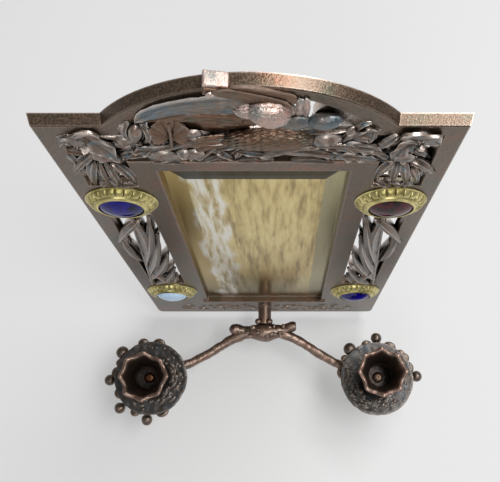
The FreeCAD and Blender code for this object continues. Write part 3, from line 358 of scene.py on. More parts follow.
@dataclass(frozen=True)
class OldMirror:
    """Plate glass, silvered on the back: the silver has yellowed and foxed in long runs, and the colour also
    paints reflections: the runs, a pale band, the bevels and a darker bottom.
    """

    name: str = "foxed_plate_with_painted_reflections"
    gold: str = "#d3be80"
    brown: str = "#9a8450"
    straw: str = "#e2d29a"
    pale: str = "#eae8de"
    # painted reflections in the side bevels
    left_bevel: str = "#b89c58"
    right_bevel: str = "#a09c7c"
    top_bevel: str = "#2a2414"    # painted reflection of the dark recess above it
    bevel_z: float = 138.0        # where the flat of the glass ends, upwards
    bevel_x: float = 44.0         # and to the sides
    bevel_line: float = 0.3       # width of the line between flat and bevel
    mitre: float = 0.69           # run of the bevels' corner line, sideways over upwards
    low_shade: str = "#5d4f33"
    shade_from: float = -70.0     # height where the painted dark reflection towards the bottom begins
    shade_to: float = -150.0
    run_mm: float = 5.5           # width of a run of foxing and painted reflection
    stretch: float = 0.12         # how much longer the runs are than wide
    pale_x: float = -34.0         # middle of the whitish band of painted reflection
    pale_w: float = 15.0
    waver_mm: float = 30.0        # length over which the band's edge wanders
    roughness: float = 0.24

    def build(self) -> Material:
        """The finished material."""
        work = Recipe(self.name)
        place = work.add("TexCoord", out="Object")
        x, z = (work.add("SeparateXYZ", None, {"Vector": place}, name) for name in "XZ")
        runs = work.add("Mapping", {"Scale": (1, 1, self.stretch)}, {"Vector": place})
        # Foxing runs, which also paint the glass's reflections
        foxing_and_reflection_runs = work.add("TexNoise", {"Scale": 1 / (self.run_mm * MM), "Detail": 7.0, "Roughness": 0.62},
                       {"Vector": runs})
        runs_of = [(0.34, self.brown), (0.52, self.gold), (0.70, self.straw)]
        colour = work.add("ValToRGB", {"stops": runs_of}, {"Fac": foxing_and_reflection_runs})
        coats = []
        # Side bevels tinted with painted reflections
        for sign, tone in ((-1, self.left_bevel), (1, self.right_bevel)):
            ends = {"From Min": sign * self.bevel_x * MM,
                    "From Max": sign * (self.bevel_x + self.bevel_line) * MM}
            coats.append((work.add("MapRange", {**ends, "To Max": 0.8}, {"Value": x}), tone))
        # Painted dark reflection towards the bottom
        ends = {"From Min": self.shade_from * MM, "From Max": self.shade_to * MM}
        coats.append((work.add("MapRange", {**ends, "To Max": 0.8}, {"Value": z}), self.low_shade))

        # A pale band of painted reflection, broken by the runs
        waver = work.add("TexNoise", {"Scale": 1 / (self.waver_mm * MM), "Detail": 3.0}, {"Vector": place})
        middle = work.add("MapRange", {"To Min": (self.pale_x - self.pale_w) * MM,
                                       "To Max": (self.pale_x + self.pale_w) * MM}, {"Value": waver})
        off = work.add("Math", {"operation": "SUBTRACT"}, {0: x, 1: middle})
        away = work.add("Math", {"operation": "ABSOLUTE"}, {0: off})
        ends = {"From Min": self.pale_w * 0.9 * MM, "From Max": self.pale_w * 0.55 * MM}
        band = work.add("MapRange", ends, {"Value": away})
        blots = work.add("MapRange", {"From Min": 0.40, "From Max": 0.58}, {"Value": foxing_and_reflection_runs})
        coats.append((work.add("Math", {"operation": "MULTIPLY"}, {0: band, 1: blots}), self.pale))

        # Top bevel darkened as a painted reflection of the recess
        wide = work.add("Math", {"operation": "ABSOLUTE"}, {0: x})
        slanted = work.add("Math", {"operation": "MULTIPLY_ADD", 1: -self.mitre}, {0: z, 2: wide})
        corner = self.bevel_x - self.mitre * self.bevel_z
        ends = {"From Min": (corner + 0.2) * MM, "From Max": (corner - 0.2) * MM}
        within = work.add("MapRange", ends, {"Value": slanted})
        ends = {"From Min": self.bevel_z * MM, "From Max": (self.bevel_z + self.bevel_line) * MM}
        above = work.add("MapRange", {**ends, "To Max": 0.95}, {"Value": z})
        coats.append((work.add("Math", {"operation": "MULTIPLY"}, {0: within, 1: above}), self.top_bevel))
        return work.close(colour, coats, {"Metallic": 1.0, "Roughness": self.roughness})


@dataclass(frozen=True)
class Plain:
    """Sheet, board and wire at the back, with a little mottling."""

    name: str
    colour: str
    second: str
    metallic: float
    roughness: float
    patch_mm: float = 12.0

    def build(self) -> Material:
        """The finished material."""
        work = Recipe(self.name)
        cloud = work.add("TexNoise", {"Scale": 1 / (self.patch_mm * MM), "Detail": 6.0, "Roughness": 0.65},
                         {"Vector": work.add("TexCoord", out="Object")})
        colour = work.add("ValToRGB", {"stops": [(0.35, self.colour), (0.65, self.second)]}, {"Fac": cloud})
        rough = work.add("MapRange", {"To Min": self.roughness - 0.1, "To Max": self.roughness + 0.1},
                         {"Value": cloud})
        return work.close(colour, [], {"Metallic": self.metallic}, {"Roughness": rough})


@contextmanager
def editing(piece: Piece) -> Iterator[None]:
    """Edit mode on one piece, with all of it selected on the way in."""
    only(piece)
    bpy.ops.object.mode_set(mode="EDIT")
    bpy.ops.mesh.select_all(action="SELECT")
    yield
    bpy.ops.object.mode_set(mode="OBJECT")


def only(piece: Piece) -> None:
    """Selects one piece alone and makes it the active one."""
    bpy.ops.object.select_all(action="DESELECT")
    piece.select_set(True)
    bpy.context.view_layer.objects.active = piece


def joined(pieces: Sequence[Piece]) -> Piece:
    """All the pieces as one object, the first."""
    bpy.ops.object.select_all(action="DESELECT")
    for piece in pieces:
        piece.select_set(True)
    bpy.context.view_layer.objects.active = pieces[0]
    if len(pieces) > 1:
        bpy.ops.object.join()
    return pieces[0]


def finished(piece: Piece, kind: str, **settings: object) -> None:
    """Adds one modifier with its settings and applies it."""
    only(piece)
    modifier = piece.modifiers.new(kind.lower(), kind)
    for name, value in settings.items():
        setattr(modifier, name, value)
    bpy.ops.object.modifier_apply(modifier=modifier.name)


def places(piece: Piece) -> np.ndarray:
    """The mesh's points, one row each."""
    flat = np.empty(len(piece.data.vertices) * 3)
    piece.data.vertices.foreach_get("co", flat)
    return flat.reshape(-1, 3)


def reshape(piece: Piece, points: np.ndarray) -> None:
    """Puts the mesh's points where the rows say."""
    piece.data.vertices.foreach_set("co", np.ascontiguousarray(points, dtype=float).ravel())
    piece.data.update()


def roughened(piece: Piece, size: float, depth: float, seed: float = 0.0) -> None:
    """Pushes every point in or out along its normal by smooth noise, as a hand-finished mould leaves it.

    Args:
        piece: the piece, in millimetres.
        size: the noise's grain, in millimetres.
        depth: the largest push, in millimetres.
        seed: where in the noise the piece lies.
    """
    shift = Vector((seed, seed * 0.7, -seed))
    flat = np.empty(len(piece.data.vertices) * 3)
    piece.data.vertices.foreach_get("normal", flat)
    points = places(piece)
    push = [noise.noise(Vector(p) / size + shift) + 0.5 * noise.noise(Vector(p) / size * 2.3 - shift)
            for p in points]
    reshape(piece, points + flat.reshape(-1, 3) * np.array(push)[:, None] * depth)


def lathe(profile: Profile, steps: int) -> Piece:
    """A turned ring about Z, drawn out step by step from a circle.

    Args:
        profile: radius and height of each step. The last one meets the first again.
        steps: corners of the ring.

    Returns:
        The piece, closed, with its faces outwards.
    """
    r, z = profile[0]
    bpy.ops.mesh.primitive_circle_add(vertices=steps, radius=r, location=(0, 0, 0))
    piece = bpy.context.object
    piece.data.transform(Matrix.Translation((0, 0, z)))
    with editing(piece):
        for next_r, next_z in (*profile[1:], profile[0]):
            bpy.ops.mesh.extrude_edges_move(TRANSFORM_OT_translate={"value": (0, 0, next_z - z)})
            bpy.ops.transform.resize(value=(next_r / r, next_r / r, 1), center_override=(0, 0, next_z))
            r, z = next_r, next_z
        bpy.ops.mesh.select_all(action="SELECT")
        bpy.ops.mesh.remove_doubles(threshold=0.01)
        bpy.ops.mesh.normals_make_consistent(inside=False)
    return piece


def cane(nodes: Sequence[tuple[Vector, float]], sides: int = 16, step: int = 8) -> Piece:
    """A smooth round twig through (place, radius) nodes, closed at both ends.

    Args:
        nodes: control places with their radii.
        sides: corners round the twig.
        step: rings between two nodes.

    Returns:
        The piece.
    """
    curve = bpy.data.curves.new("cane", "CURVE")
    curve.dimensions = "3D"
    spline = curve.splines.new("NURBS")
    spline.points.add(len(nodes) - 1)
    for point, (place, radius) in zip(spline.points, nodes):
        point.co = (*place, 1)
        point.radius = radius
    spline.order_u = 3
    spline.use_endpoint_u = True
    spline.resolution_u = step
    curve.bevel_depth = 1.0
    curve.bevel_resolution = sides // 4
    curve.use_fill_caps = True
    piece = bpy.data.objects.new("cane", curve)
    bpy.context.scene.collection.objects.link(piece)
    only(piece)
    bpy.ops.object.convert(target="MESH")
    piece = bpy.context.object
    with editing(piece):
        bpy.ops.mesh.remove_doubles(threshold=0.01)
        bpy.ops.mesh.normals_make_consistent(inside=False)
    return piece


def ball(place: Vector, radii: tuple[float, float, float], segments: int = 20, rings: int = 12,
         turn: Matrix | None = None) -> Piece:
    """A ball or egg at a place, stretched to three radii and then turned."""
    bpy.ops.mesh.primitive_uv_sphere_add(segments=segments, ring_count=rings, radius=1.0)
    piece = bpy.context.object
    piece.data.transform(Matrix.Translation(place) @ (turn or Matrix()) @ Matrix.Diagonal((*radii, 1)))
    return piece


def settle(piece: Piece, name: str, body: str, material: Material,
           nodes: Sequence[str] = (), angle: float = 45.0, shift: Matrix | None = None) -> Piece:
    """Brings a finished piece into the model: metres, name, body, slot and finish.

    Args:
        piece: the piece, drawn in millimetres.
        name: its name in the model.
        body: the moving body that carries it.
        material: the finish.
        nodes: the model's nodes that it stands for.
        angle: edges sharper than this stay sharp, in degrees.
        shift: where its own frame lies, in millimetres.

    Returns:
        The piece.
    """
    piece.data.transform(Matrix.Diagonal((MM, MM, MM, 1)) @ (shift or Matrix()))
    piece.name = name
    piece.data.name = name
    piece.data.materials.clear()
    piece.data.materials.append(material)
    only(piece)
    bpy.ops.object.shade_smooth_by_angle(angle=math.radians(angle))
    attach(piece, body)
    if nodes:
        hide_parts(*nodes)
    LOG.info("%s: %d faces", name, len(piece.data.polygons))
    return piece


def dress(name: str, material: Material) -> None:
    """Gives a carried-over node its finish."""
    node = frame["nodes"][name]
    node.data.materials.clear()
    node.data.materials.append(material)


def blade_form(blade: Blade, u: np.ndarray, v: np.ndarray) -> tuple[np.ndarray, np.ndarray, np.ndarray]:
    """The form of a leaf in shares of its length, half width and relief.

    Args:
        blade: the kind of leaf.
        u: from 0 at the base to 1 at the tip.
        v: from -1 at one edge to 1 at the other.

    Returns:
        Way along the spine, way across it and height above it.
    """
    s = np.sin(math.pi * np.clip(u, 0, 1))
    w = np.abs(v)
    if blade is LANCE:
        across = 0.72 * v * np.maximum(np.sin(math.pi * u ** 0.8) ** 0.9, 0.06)
        up = (1 - w) ** 1.25 + 0.25 * w ** 5
        return u, across, up * s ** 0.45
    if blade is LOBED:
        lobes = 1 + 0.24 * np.sin(2 * math.pi * (3.2 * u - 0.15)) * w ** 2
        across = 0.9 * v * np.maximum(np.sin(math.pi * u ** 0.75) ** 0.6 * lobes, 0.1)
        veins = 0.22 * np.cos(2 * math.pi * (4.5 * u - 1.1 * w)) * w ** 0.5
        return u, across, (1.1 * w ** 0.8 * (1 - 0.5 * w) + veins) * s ** 0.5
    if blade is FAN:
        spread = v * FAN_SPREAD
        ribs = np.abs(np.cos(FAN_RIBS / 2 * math.pi * v))
        teeth = np.abs(np.cos(FAN_TEETH / 2 * math.pi * v))
        reach = (0.05 + 0.95 * u) * (0.86 + 0.08 * ribs ** 0.6 + 0.06 * teeth) * (1 - 0.10 * w)
        along = 0.40 + 0.60 * reach * np.cos(spread)
        up = (0.7 * ribs ** 4 + 0.25 * teeth) * u ** 0.4 * (1.2 - 0.5 * u) + 0.5 * (1 - u ** 2)
        return along, reach * np.sin(spread), up
    if blade is FEATHER:
        tip = (1 - np.clip((u - 0.72) / 0.28, 0, 1) ** 2.2) ** 0.5
        across = v * np.maximum(np.minimum((u / 0.16) ** 0.5, 1) * tip, 0.1)
        barbs = (0.10 * np.cos(2 * math.pi * (9 * u - 1.6 * w)) * w ** 0.5
                 + 0.11 * np.cos(5 * math.pi * v + 2 * u))
        return u, across, 0.8 * (1 - w ** 2) + barbs + 0.25 * u
    if blade is STALK:
        return u, v * (1 - 0.25 * u), np.sqrt(np.maximum(1 - w ** 2, 0.0)) * (1 + 0.12 * np.sin(9 * u))
    girth = np.maximum(s, 0.12)
    up = np.sqrt(np.maximum((1 - (2 * u - 1) ** 2) * (1 - w ** 2), 0))
    if blade is POD:
        up = up * (1 - 0.30 * np.exp(-((np.mod(u * POD_RIBS, 1) - 0.5) / 0.16) ** 2))
    return u, v * girth ** 0.6, up


@dataclass(frozen=True)
class Leaf:
    """One carved leaf, laid along a bent spine.

    Places are (x, drop, lift) as read, where the frame's face has the lift FACE_LIFT.
    """

    blade: Blade
    base: Place
    middle: Place
    tip: Place
    width: float
    relief: float = 2.0
    roll: float = 0.0                    # degrees about the spine

    def build(self) -> Piece:
        """The leaf's face, one layer thick, in millimetres."""
        columns = FAN_COLUMNS if self.blade is FAN else LEAF_COLUMNS
        base, middle, tip = (seen(x, drop, (lift - FACE_LIFT) * LIFT_MM)
                             for x, drop, lift in (self.base, self.middle, self.tip))
        bend = middle * 2 - (base + tip) / 2
        bpy.ops.mesh.primitive_grid_add(x_subdivisions=LEAF_ROWS, y_subdivisions=columns, size=2.0)
        piece = bpy.context.object
        grid = places(piece)
        u, v = (grid[:, 0] + 1) / 2, grid[:, 1]
        along, across, up = blade_form(self.blade, u, v)
        spine = [np.outer((1 - along) ** 2, base), np.outer(2 * along * (1 - along), bend),
                 np.outer(along ** 2, tip)]
        slope = np.outer(2 * (1 - along), bend - base) + np.outer(2 * along, tip - bend)
        slope /= np.linalg.norm(slope, axis=1)[:, None]
        roll = Matrix.Rotation(math.radians(self.roll), 3, (tip - base).normalized())
        outward = np.array(roll @ Vector((0, -1, 0)))
        side = np.cross(outward, slope)
        side /= np.linalg.norm(side, axis=1)[:, None]
        lift = np.cross(slope, side)
        wide, high = across * self.width / 2, up * self.relief
        reshape(piece, sum(spine) + side * wide[:, None] + lift * high[:, None])
        return piece


def carved(rows: Rows, thick: float = 1.8, wobble: float = 0.3) -> Piece:
    """Leaves as one closed, hand-finished relief."""
    piece = joined([Leaf(*row).build() for row in rows])
    finished(piece, "SOLIDIFY", thickness=thick, offset=-1.0)
    roughened(piece, CHISEL_MM, wobble)
    return piece


def mirrored(rows: Rows) -> Rows:
    """The same leaves on the other side of the centreline."""
    return [(blade, *((-x, drop, lift) for x, drop, lift in (base, middle, tip)), *form)
            for blade, base, middle, tip, *form in rows]


@dataclass
class Openwork:
    """The three pierced panels: a web at the back and carved leaves on it."""

    web_depth: float = 2.6               # the web starts this far behind the face
    web_nodes: tuple[str, ...] = ("upper_spray", "left_leaf_panel", "right_leaf_panel")
    infill_count: int = 56
    rail_count: int = 70
    rail_drop: float = 388.0             # middle of the bottom rail, as read
    rail_half_w: float = 88.0
    rail_half_h: float = 10.0
    seed: int = 11

    # Leaves of the upper left corner
    left_corner: Rows = (
        (LOBED, (-98, 16, 1), (-86, 10, 7), (-76, 38, 4), 17, 3.0, -8),
        (LANCE, (-103, 14, -2), (-98, 6, 3), (-87, 11, 2), 9, 2.0),
        (LANCE, (-104, 20, -2), (-101, 12, 2), (-94, 9, 1), 7, 1.6),
        (STALK, (-88, 8, 0), (-79, 5, 2), (-66, 9, 1), 4, 1.6),
        (LANCE, (-102, 18, -2), (-101, 32, 3), (-96, 47, 0), 7, 1.8),
        (LANCE, (-86, 24, 0), (-97, 36, 5), (-106, 54, 3), 9, 2.2, 14),
        (LANCE, (-89, 33, 0), (-95, 50, 5), (-97, 70, 1), 9, 2.2, 10),
        (LANCE, (-87, 35, 1), (-89, 52, 5), (-87, 68, 1), 6, 2.0),
        (LANCE, (-84, 36, 1), (-83, 54, 5), (-82, 72, 1), 7, 2.2, -4),
        (LANCE, (-81, 36, 1), (-77, 48, 5), (-73, 62, 1), 7, 2.4, -10),
        (LANCE, (-78, 38, 1), (-73, 52, 4), (-71, 68, 0), 7, 2.0, -16),
        (MOUND, (-90, 30, 1), (-84, 30, 5), (-78, 34, 2), 10, 2.6),
        (LOBED, (-93, 60, -2), (-88, 70, 2), (-84, 78, 0), 12, 1.8))

    # Bud, blossom, fan leaf and stems left of the bird
    centre_left: Rows = (
        (MOUND, (-63, 12, 1), (-60, 1, 7), (-58, -9, 3), 8, 3.2, 5),
        (LANCE, (-60, 13, 1), (-65, 2, 6), (-61, -10, 4), 6, 2.0, 25),
        (LANCE, (-59, 13, 1), (-54, 4, 6), (-56, -8, 4), 6, 2.0, -25),
        (LANCE, (-66, 4, 1), (-66, -3, 4), (-62, -9, 3), 5, 1.6, 20),
        (MOUND, (-72, 12, 0), (-67, 9, 5), (-63, 11, 2), 8, 2.8),
        (LOBED, (-68, 16, 0), (-64, 14, 5), (-58, 17, 2), 8, 2.0),
        (MOUND, (-34, 4, 1), (-30, 1, 5), (-25, 3, 1), 7, 2.4),
        (LANCE, (-36, 8, 0), (-28, 4, 4), (-20, 4, 1), 6, 1.8),
        (STALK, (-74, 12, 0), (-55, 18, 4), (-38, 14, 3), 4.5, 2.0),
        (STALK, (-46, 18, 2), (-26, 9, 5), (-2, 6, 3), 5, 2.2),
        (LANCE, (-48, 20, 0), (-22, 12, 5), (2, 12, 2), 7, 2.2),
        (LOBED, (-50, 19, 1), (-60, 21, 5), (-71, 19, 1), 10, 2.2, 6),
        (LANCE, (-50, 24, 0), (-62, 27, 4), (-73, 31, 0), 9, 2.0),
        (MOUND, (-58, 30, -1), (-49, 28, 4), (-40, 31, 0), 12, 2.8),
        (LANCE, (-60, 36, -1), (-48, 36, 2), (-36, 38, 0), 8, 1.8),
        (POD, (-41, 24, 1), (-37, 26, 5), (-32, 28, 2), 10, 2.8),
        (MOUND, (-36, 24, 1), (-31, 25, 5), (-26, 27, 1), 9, 2.6),
        (STALK, (-30, 32, 0), (-24, 24, 4), (-17, 13, 2), 3.2, 1.6),
        (LANCE, (-28, 36, 0), (-22, 31, 3), (-12, 24, 1), 6, 1.8),
        (LANCE, (-20, 22, 1), (-16, 27, 4), (-9, 34, 1), 8, 2.4, -8),
        (LANCE, (-8, 22, 0), (0, 26, 4), (10, 26, 1), 8, 2.0),
        (LANCE, (-10, 34, 0), (0, 35, 3), (12, 34, 0), 7, 1.8))

    # Rose leaf, pod, stems and lobes right of the bird
    centre_right: Rows = (
        (LANCE, (10, 22, 3), (30, 24, 6), (48, 28, 3), 9, 1.6, -10),
        (LANCE, (27, -1, 2), (40, 0, 6), (52, -3, 3), 7, 2.0, -20),
        (POD, (32, 12, 1), (40, 9, 8), (49, 8, 3), 12, 3.4),
        (LANCE, (29, 16, 1), (31, 10, 6), (36, 5, 3), 5, 1.8, 20),
        (LANCE, (46, 12, 1), (50, 6, 6), (51, -1, 3), 5, 1.8, -15),
        (STALK, (6, 27, 1), (22, 19, 6), (36, 15, 4), 5.5, 2.6),
        (STALK, (30, 16, 3), (48, 15, 5), (66, 20, 3), 5, 2.2),
        (LOBED, (44, 20, 1), (58, 17, 6), (74, 27, 2), 13, 2.6, -6),
        (LOBED, (42, 27, 0), (56, 29, 4), (72, 33, 0), 11, 2.0),
        (LANCE, (24, 26, 0), (36, 25, 5), (48, 33, 1), 10, 2.4),
        (LANCE, (20, 36, -1), (34, 35, 3), (50, 38, 0), 8, 1.8),
        (LOBED, (50, 14, 1), (58, 4, 6), (68, -1, 3), 13, 2.4),
        (LANCE, (60, 14, 1), (64, 6, 6), (64, -4, 3), 7, 2.2, 12),
        (LANCE, (54, 2, 0), (57, -6, 4), (63, -11, 2), 7, 1.8),
        (MOUND, (50, 4, 1), (52, -1, 5), (54, -6, 2), 5, 1.8),
        (LANCE, (68, 20, 1), (74, 11, 6), (78, 3, 3), 9, 2.2, 10))

    # Leaves of the upper right corner
    right_corner: Rows = (
        (LOBED, (78, 20, 1), (89, 8, 7), (102, 16, 2), 20, 2.8, 6),
        (LANCE, (80, 12, 0), (88, 4, 4), (100, 6, 1), 9, 1.8),
        (LOBED, (94, 14, 2), (84, 17, 8), (79, 38, 3), 12, 2.6, 8),
        (LANCE, (81, 33, 1), (76, 44, 5), (72, 60, 1), 9, 2.2, 14),
        (LANCE, (83, 35, 1), (83, 50, 5), (84, 68, 1), 7, 2.2),
        (LANCE, (86, 35, 1), (89, 50, 5), (93, 70, 1), 8, 2.2, -6),
        (LANCE, (88, 32, 1), (97, 40, 6), (107, 53, 4), 9, 2.4, -14),
        (LANCE, (90, 40, 0), (95, 52, 4), (100, 70, 0), 8, 1.8, -8),
        (MOUND, (79, 32, 1), (85, 30, 6), (91, 33, 2), 9, 2.6),
        (LOBED, (78, 62, -2), (84, 70, 2), (88, 79, 0), 12, 1.8),
        (LANCE, (94, 60, -2), (92, 70, 2), (92, 79, 0), 8, 1.6))

    # The round brown vine leaf under the wing, with its stalk
    vine_leaf: Rows = (
        (FAN, (-43, 16, 3), (-42, 1, 6), (-41, -14, 5), 24, 2.0),
        (STALK, (-43, 17, 5), (-42, 5, 9), (-41, -9, 8), 2.2, 1.2))

    # Leaves and stalk of the right column, which the left one mirrors
    column: Rows = (
        (LANCE, (103, 285, 0), (86, 250, 5), (74, 208, 2), 12, 2.4),
        (LANCE, (101, 272, 0), (86, 222, 6), (75, 163, 2), 11, 2.4),
        (LANCE, (98, 242, 0), (85, 188, 6), (75, 124, 1), 11, 2.4),
        (LANCE, (93, 216, 1), (86, 172, 6), (88, 124, 2), 11, 2.4),
        (LANCE, (81, 128, 0), (94, 150, 6), (108, 180, 3), 11, 2.4),
        (LANCE, (80, 300, -1), (90, 276, 4), (97, 252, 1), 11, 2.4),
        (LANCE, (100, 296, 0), (85, 280, 4), (74, 246, 1), 11, 2.4),
        (LANCE, (98, 226, 0), (103, 200, 4), (102, 168, 1), 8, 2.4),
        (LANCE, (84, 292, 0), (78, 280, 3), (75, 262, 0), 8, 2.4),
        (STALK, (101, 300, -1), (95, 230, 1), (87, 128, 0), 4.5, 2.0))

    def web(self, node: str, material: Material) -> None:
        """The back layer of a panel, cut from a merged copy of the model's own."""
        source = frame["nodes"][node]
        piece = bpy.data.objects.new(f"{node}_web", source.data.copy())
        bpy.context.scene.collection.objects.link(piece)
        piece.data.transform(Matrix.Diagonal((1 / MM, 1 / MM, 1 / MM, 1)) @ source.matrix_world)
        with editing(piece):
            bpy.ops.mesh.remove_doubles(threshold=0.001)
            bpy.ops.mesh.bisect(plane_co=(0, FRONT_Y + self.web_depth, 0), plane_no=(0, -1, 0), use_fill=True,
                                clear_outer=True)
        settle(piece, f"{node}_web", "frame", material, [node], angle=30)

    def infill(self) -> Rows:
        """Small leaves deep in the upper panel, behind the large ones."""
        draw = random.Random(self.seed)
        rows = []
        for k in range(self.infill_count):
            side = (-1) ** k
            reach, depth = ((6, 76), (10, 34)) if k % 3 else ((78, 99), (14, 70))
            x, drop = draw.uniform(*reach), draw.uniform(*depth)
            turn, half, width = draw.uniform(0, math.pi), draw.uniform(6, 10), draw.uniform(6, 9)
            dx, rise = math.cos(turn) * half, math.sin(turn) * half * 0.8
            rows.append((LANCE, (side * x - dx, drop - rise, -1), (side * x, drop, 1.5),
                         (side * x + dx, drop + rise, -1), width, 1.9))
        return rows

    def rail(self) -> Rows:
        """Low leaves and berries cast on the bottom rail."""
        draw = random.Random(self.seed + 1)
        rows = []
        for _ in range(self.rail_count):
            x = draw.uniform(-self.rail_half_w, self.rail_half_w)
            drop = self.rail_drop + draw.uniform(-self.rail_half_h, self.rail_half_h)
            blade = draw.choice((LANCE, LANCE, MOUND))
            turn = draw.uniform(-0.7, 0.7)
            half = draw.uniform(2, 3) if blade is MOUND else draw.uniform(4, 8)
            dx, rise = math.cos(turn) * half, math.sin(turn) * half
            rows.append((blade, (x - dx, drop - rise, 2.4), (x, drop, 3.2), (x + dx, drop + rise, 2.4),
                         draw.uniform(4, 6), 0.8))
        return rows

    def build(self, leafy: Material, iron: Material, brown: Material) -> None:
        """Webs and carving."""
        for node in self.web_nodes:
            self.web(node, leafy)
        groups = {"left_corner_leaves": self.left_corner, "bud_and_fan_leaves": self.centre_left,
                  "pod_and_rose_leaves": self.centre_right, "right_corner_leaves": self.right_corner,
                  "deep_small_leaves": self.infill()}
        for name, rows in groups.items():
            settle(carved(rows), name, "frame", leafy, ["upper_spray"])
        settle(carved(self.vine_leaf, 1.4, 0.2), "vine_leaf", "frame", brown, ["upper_spray"])
        settle(carved(self.rail(), 1.0, 0.15), "rail_low_relief", "frame", iron)
        for side, rows in (("left", mirrored(self.column)), ("right", self.column)):
            settle(carved(rows), f"{side}_column_leaves", "frame", leafy, [f"{side}_leaf_panel"])


@dataclass
class Bird:
    """A bird in high relief, wings spread along the arch."""

    scale_rows: float = 12.0
    scale_columns: float = 18.0
    scale_depth: float = 0.4
    flutes: float = 13.0
    flute_depth: float = 0.35
    tip_x: float = -14.9                 # middle of the wing tip on the arch
    tip_w: float = 12.4
    tip_top: float = 42.7                # above the ears' top
    tip_tilt: float = 9.0                # degrees, falling to the right
    crown_top: float = 38.9              # the arch's top above the ears' top

    # The long slaty wing along the arch's inner edge
    wing: Rows = (
        (FEATHER, (8, -25, 4), (-22, -28, 6), (-57, -14, 2), 14, 2.4),
        (FEATHER, (4, -20, 4), (-24, -22, 6), (-56, -12, 2), 7, 1.6))

    # The upright feathers right of the shoulder, painted pale as highlight
    ruff: Rows = (
        (FEATHER, (24.5, -14, 3), (25, -25, 5), (24.4, -34, 4), 4.0, 1.0),
        (FEATHER, (27.5, -14, 3), (28.5, -25, 5), (27.6, -34, 4), 3.6, 1.0),
        (FEATHER, (21.5, -14, 2), (21.8, -22, 4), (21.0, -29, 3), 3.6, 1.0))

    # The wing arm on the arch's face, the band and hollow under the slaty wing, and the tail
    arm: Rows = (
        (FEATHER, (24, -30, 4), (8, -35, 6), (-12, -39, 6), 12, 0.8),
        (FEATHER, (21, -24, 7), (4, -33, 8.5), (-17, -39, 8), 8, 0.8),
        (FEATHER, (20, -21, 6), (9, -28, 8), (-4, -33, 7), 6, 0.9),
        (FEATHER, (0, -13.5, 5), (-25, -17.5, 7), (-53, -12.5, 3), 6, 1.6),
        (FEATHER, (-3, -10, 4), (-24, -14, 5), (-46, -11, 2), 5, 1.4),
        (FEATHER, (0, -5, -3), (-18, -6, -2), (-38, -7, -3), 15, 1.2),
        (FEATHER, (4, -9, -1), (-6, -10, 1), (-16, -9, 0), 9, 1.2),
        (FEATHER, (-11, 8, 4), (-24, 12, 7), (-36, 15, 4), 6, 1.6),
        (FEATHER, (-10, 11, 4), (-21, 16, 6), (-30, 20, 3), 6, 1.6),
        (FEATHER, (-12, 5, 4), (-24, 7, 6), (-34, 9, 3), 5, 1.6))

    def egg(self, place: Place, radii: Place, tilt: float, skin: Skin) -> Piece:
        """An egg along X at a place as read, with its plumage.

        Args:
            place: x, drop and out of its middle.
            radii: along, out and across.
            tilt: degrees from level.
            skin: the plumage.

        Returns:
            The piece.
        """
        piece = ball(Vector((0, 0, 0)), (1, 1, 1), 144, 96, Matrix.Rotation(math.radians(90), 4, "Y"))
        p = places(piece)
        turn = np.arctan2(p[:, 2], p[:, 1]) / (2 * math.pi)
        if skin is Skin.SCALES:
            row = (1 - p[:, 0]) / 2 * self.scale_rows
            q = np.mod(turn * self.scale_columns + np.mod(np.floor(row), 2) / 2, 1) - 0.5
            grown = self.scale_depth * np.mod(np.mod(row, 1) + 0.5 * (2 * q) ** 2, 1)
        elif skin is Skin.FLUTES:
            grown = self.flute_depth * np.abs(np.sin(math.pi * self.flutes * turn + 1.5 * p[:, 0])) ** 0.6
        else:
            grown = np.zeros(len(p))
        reshape(piece, p * (1 + grown / radii[1])[:, None] * np.array(radii))
        piece.data.transform(Matrix.Translation(seen(*place)) @ Matrix.Rotation(math.radians(tilt), 4, "Y"))
        return piece

    def slab(self, y: tuple[float, float], up: tuple[float, float]) -> Piece:
        """A thick round-edged plate as wide as the wing tip.

        Args:
            y: how far it reaches in front of the face and behind it.
            up: its lowest and highest places above the ears' top.

        Returns:
            The piece.
        """
        bpy.ops.mesh.primitive_cube_add(size=1.0)
        piece = bpy.context.object
        middle = Vector((self.tip_x, FRONT_Y + (y[1] - y[0]) / 2, EARS_Z + (up[0] + up[1]) / 2))
        size = (self.tip_w, y[0] + y[1], up[1] - up[0])
        tilt = Matrix.Rotation(math.radians(self.tip_tilt), 4, "Y")
        piece.data.transform(Matrix.Translation(middle) @ tilt @ Matrix.Diagonal((*size, 1)))
        finished(piece, "BEVEL", width=0.9, segments=3)
        with editing(piece):
            bpy.ops.mesh.subdivide(number_cuts=5)
        return piece

    def build(self, brown: Material, slaty: Material, rubbed_and_highlight: Material) -> None:
        """The bird's brown and slaty parts, and the parts painted pale as highlight."""
        body = joined([
            self.egg((9.6, 8.5, 1.5), (25, 5.5, 8), -2, Skin.SCALES),
            self.slab((2.6, 0.6), (self.crown_top - 4.5, self.tip_top - 2.6)),
            carved(self.arm, 2.2),
        ])
        roughened(body, 2.4, 0.25)
        settle(body, "bird_body", "frame", brown, ["bird"])
        wing = joined([
            self.egg((23, -10.5, 1.0), (9, 3.6, 6), 0, Skin.DOWN),
            self.egg((38.5, -11.5, 1.5), (9.5, 4.2, 5.5), -6, Skin.DOWN),
            cane([(seen(45, -11, 2), 2.6), (seen(50, -9, 2), 1.6), (seen(53, -6.5, 1.5), 0.3)]),
            ball(seen(36.5, -12.5, 6.0), (1.3, 0.9, 1.3)),
            carved(self.wing, 2.2),
        ])
        roughened(wing, 4.0, 0.35)
        settle(wing, "bird_wing_and_head", "frame", slaty, ["bird"])
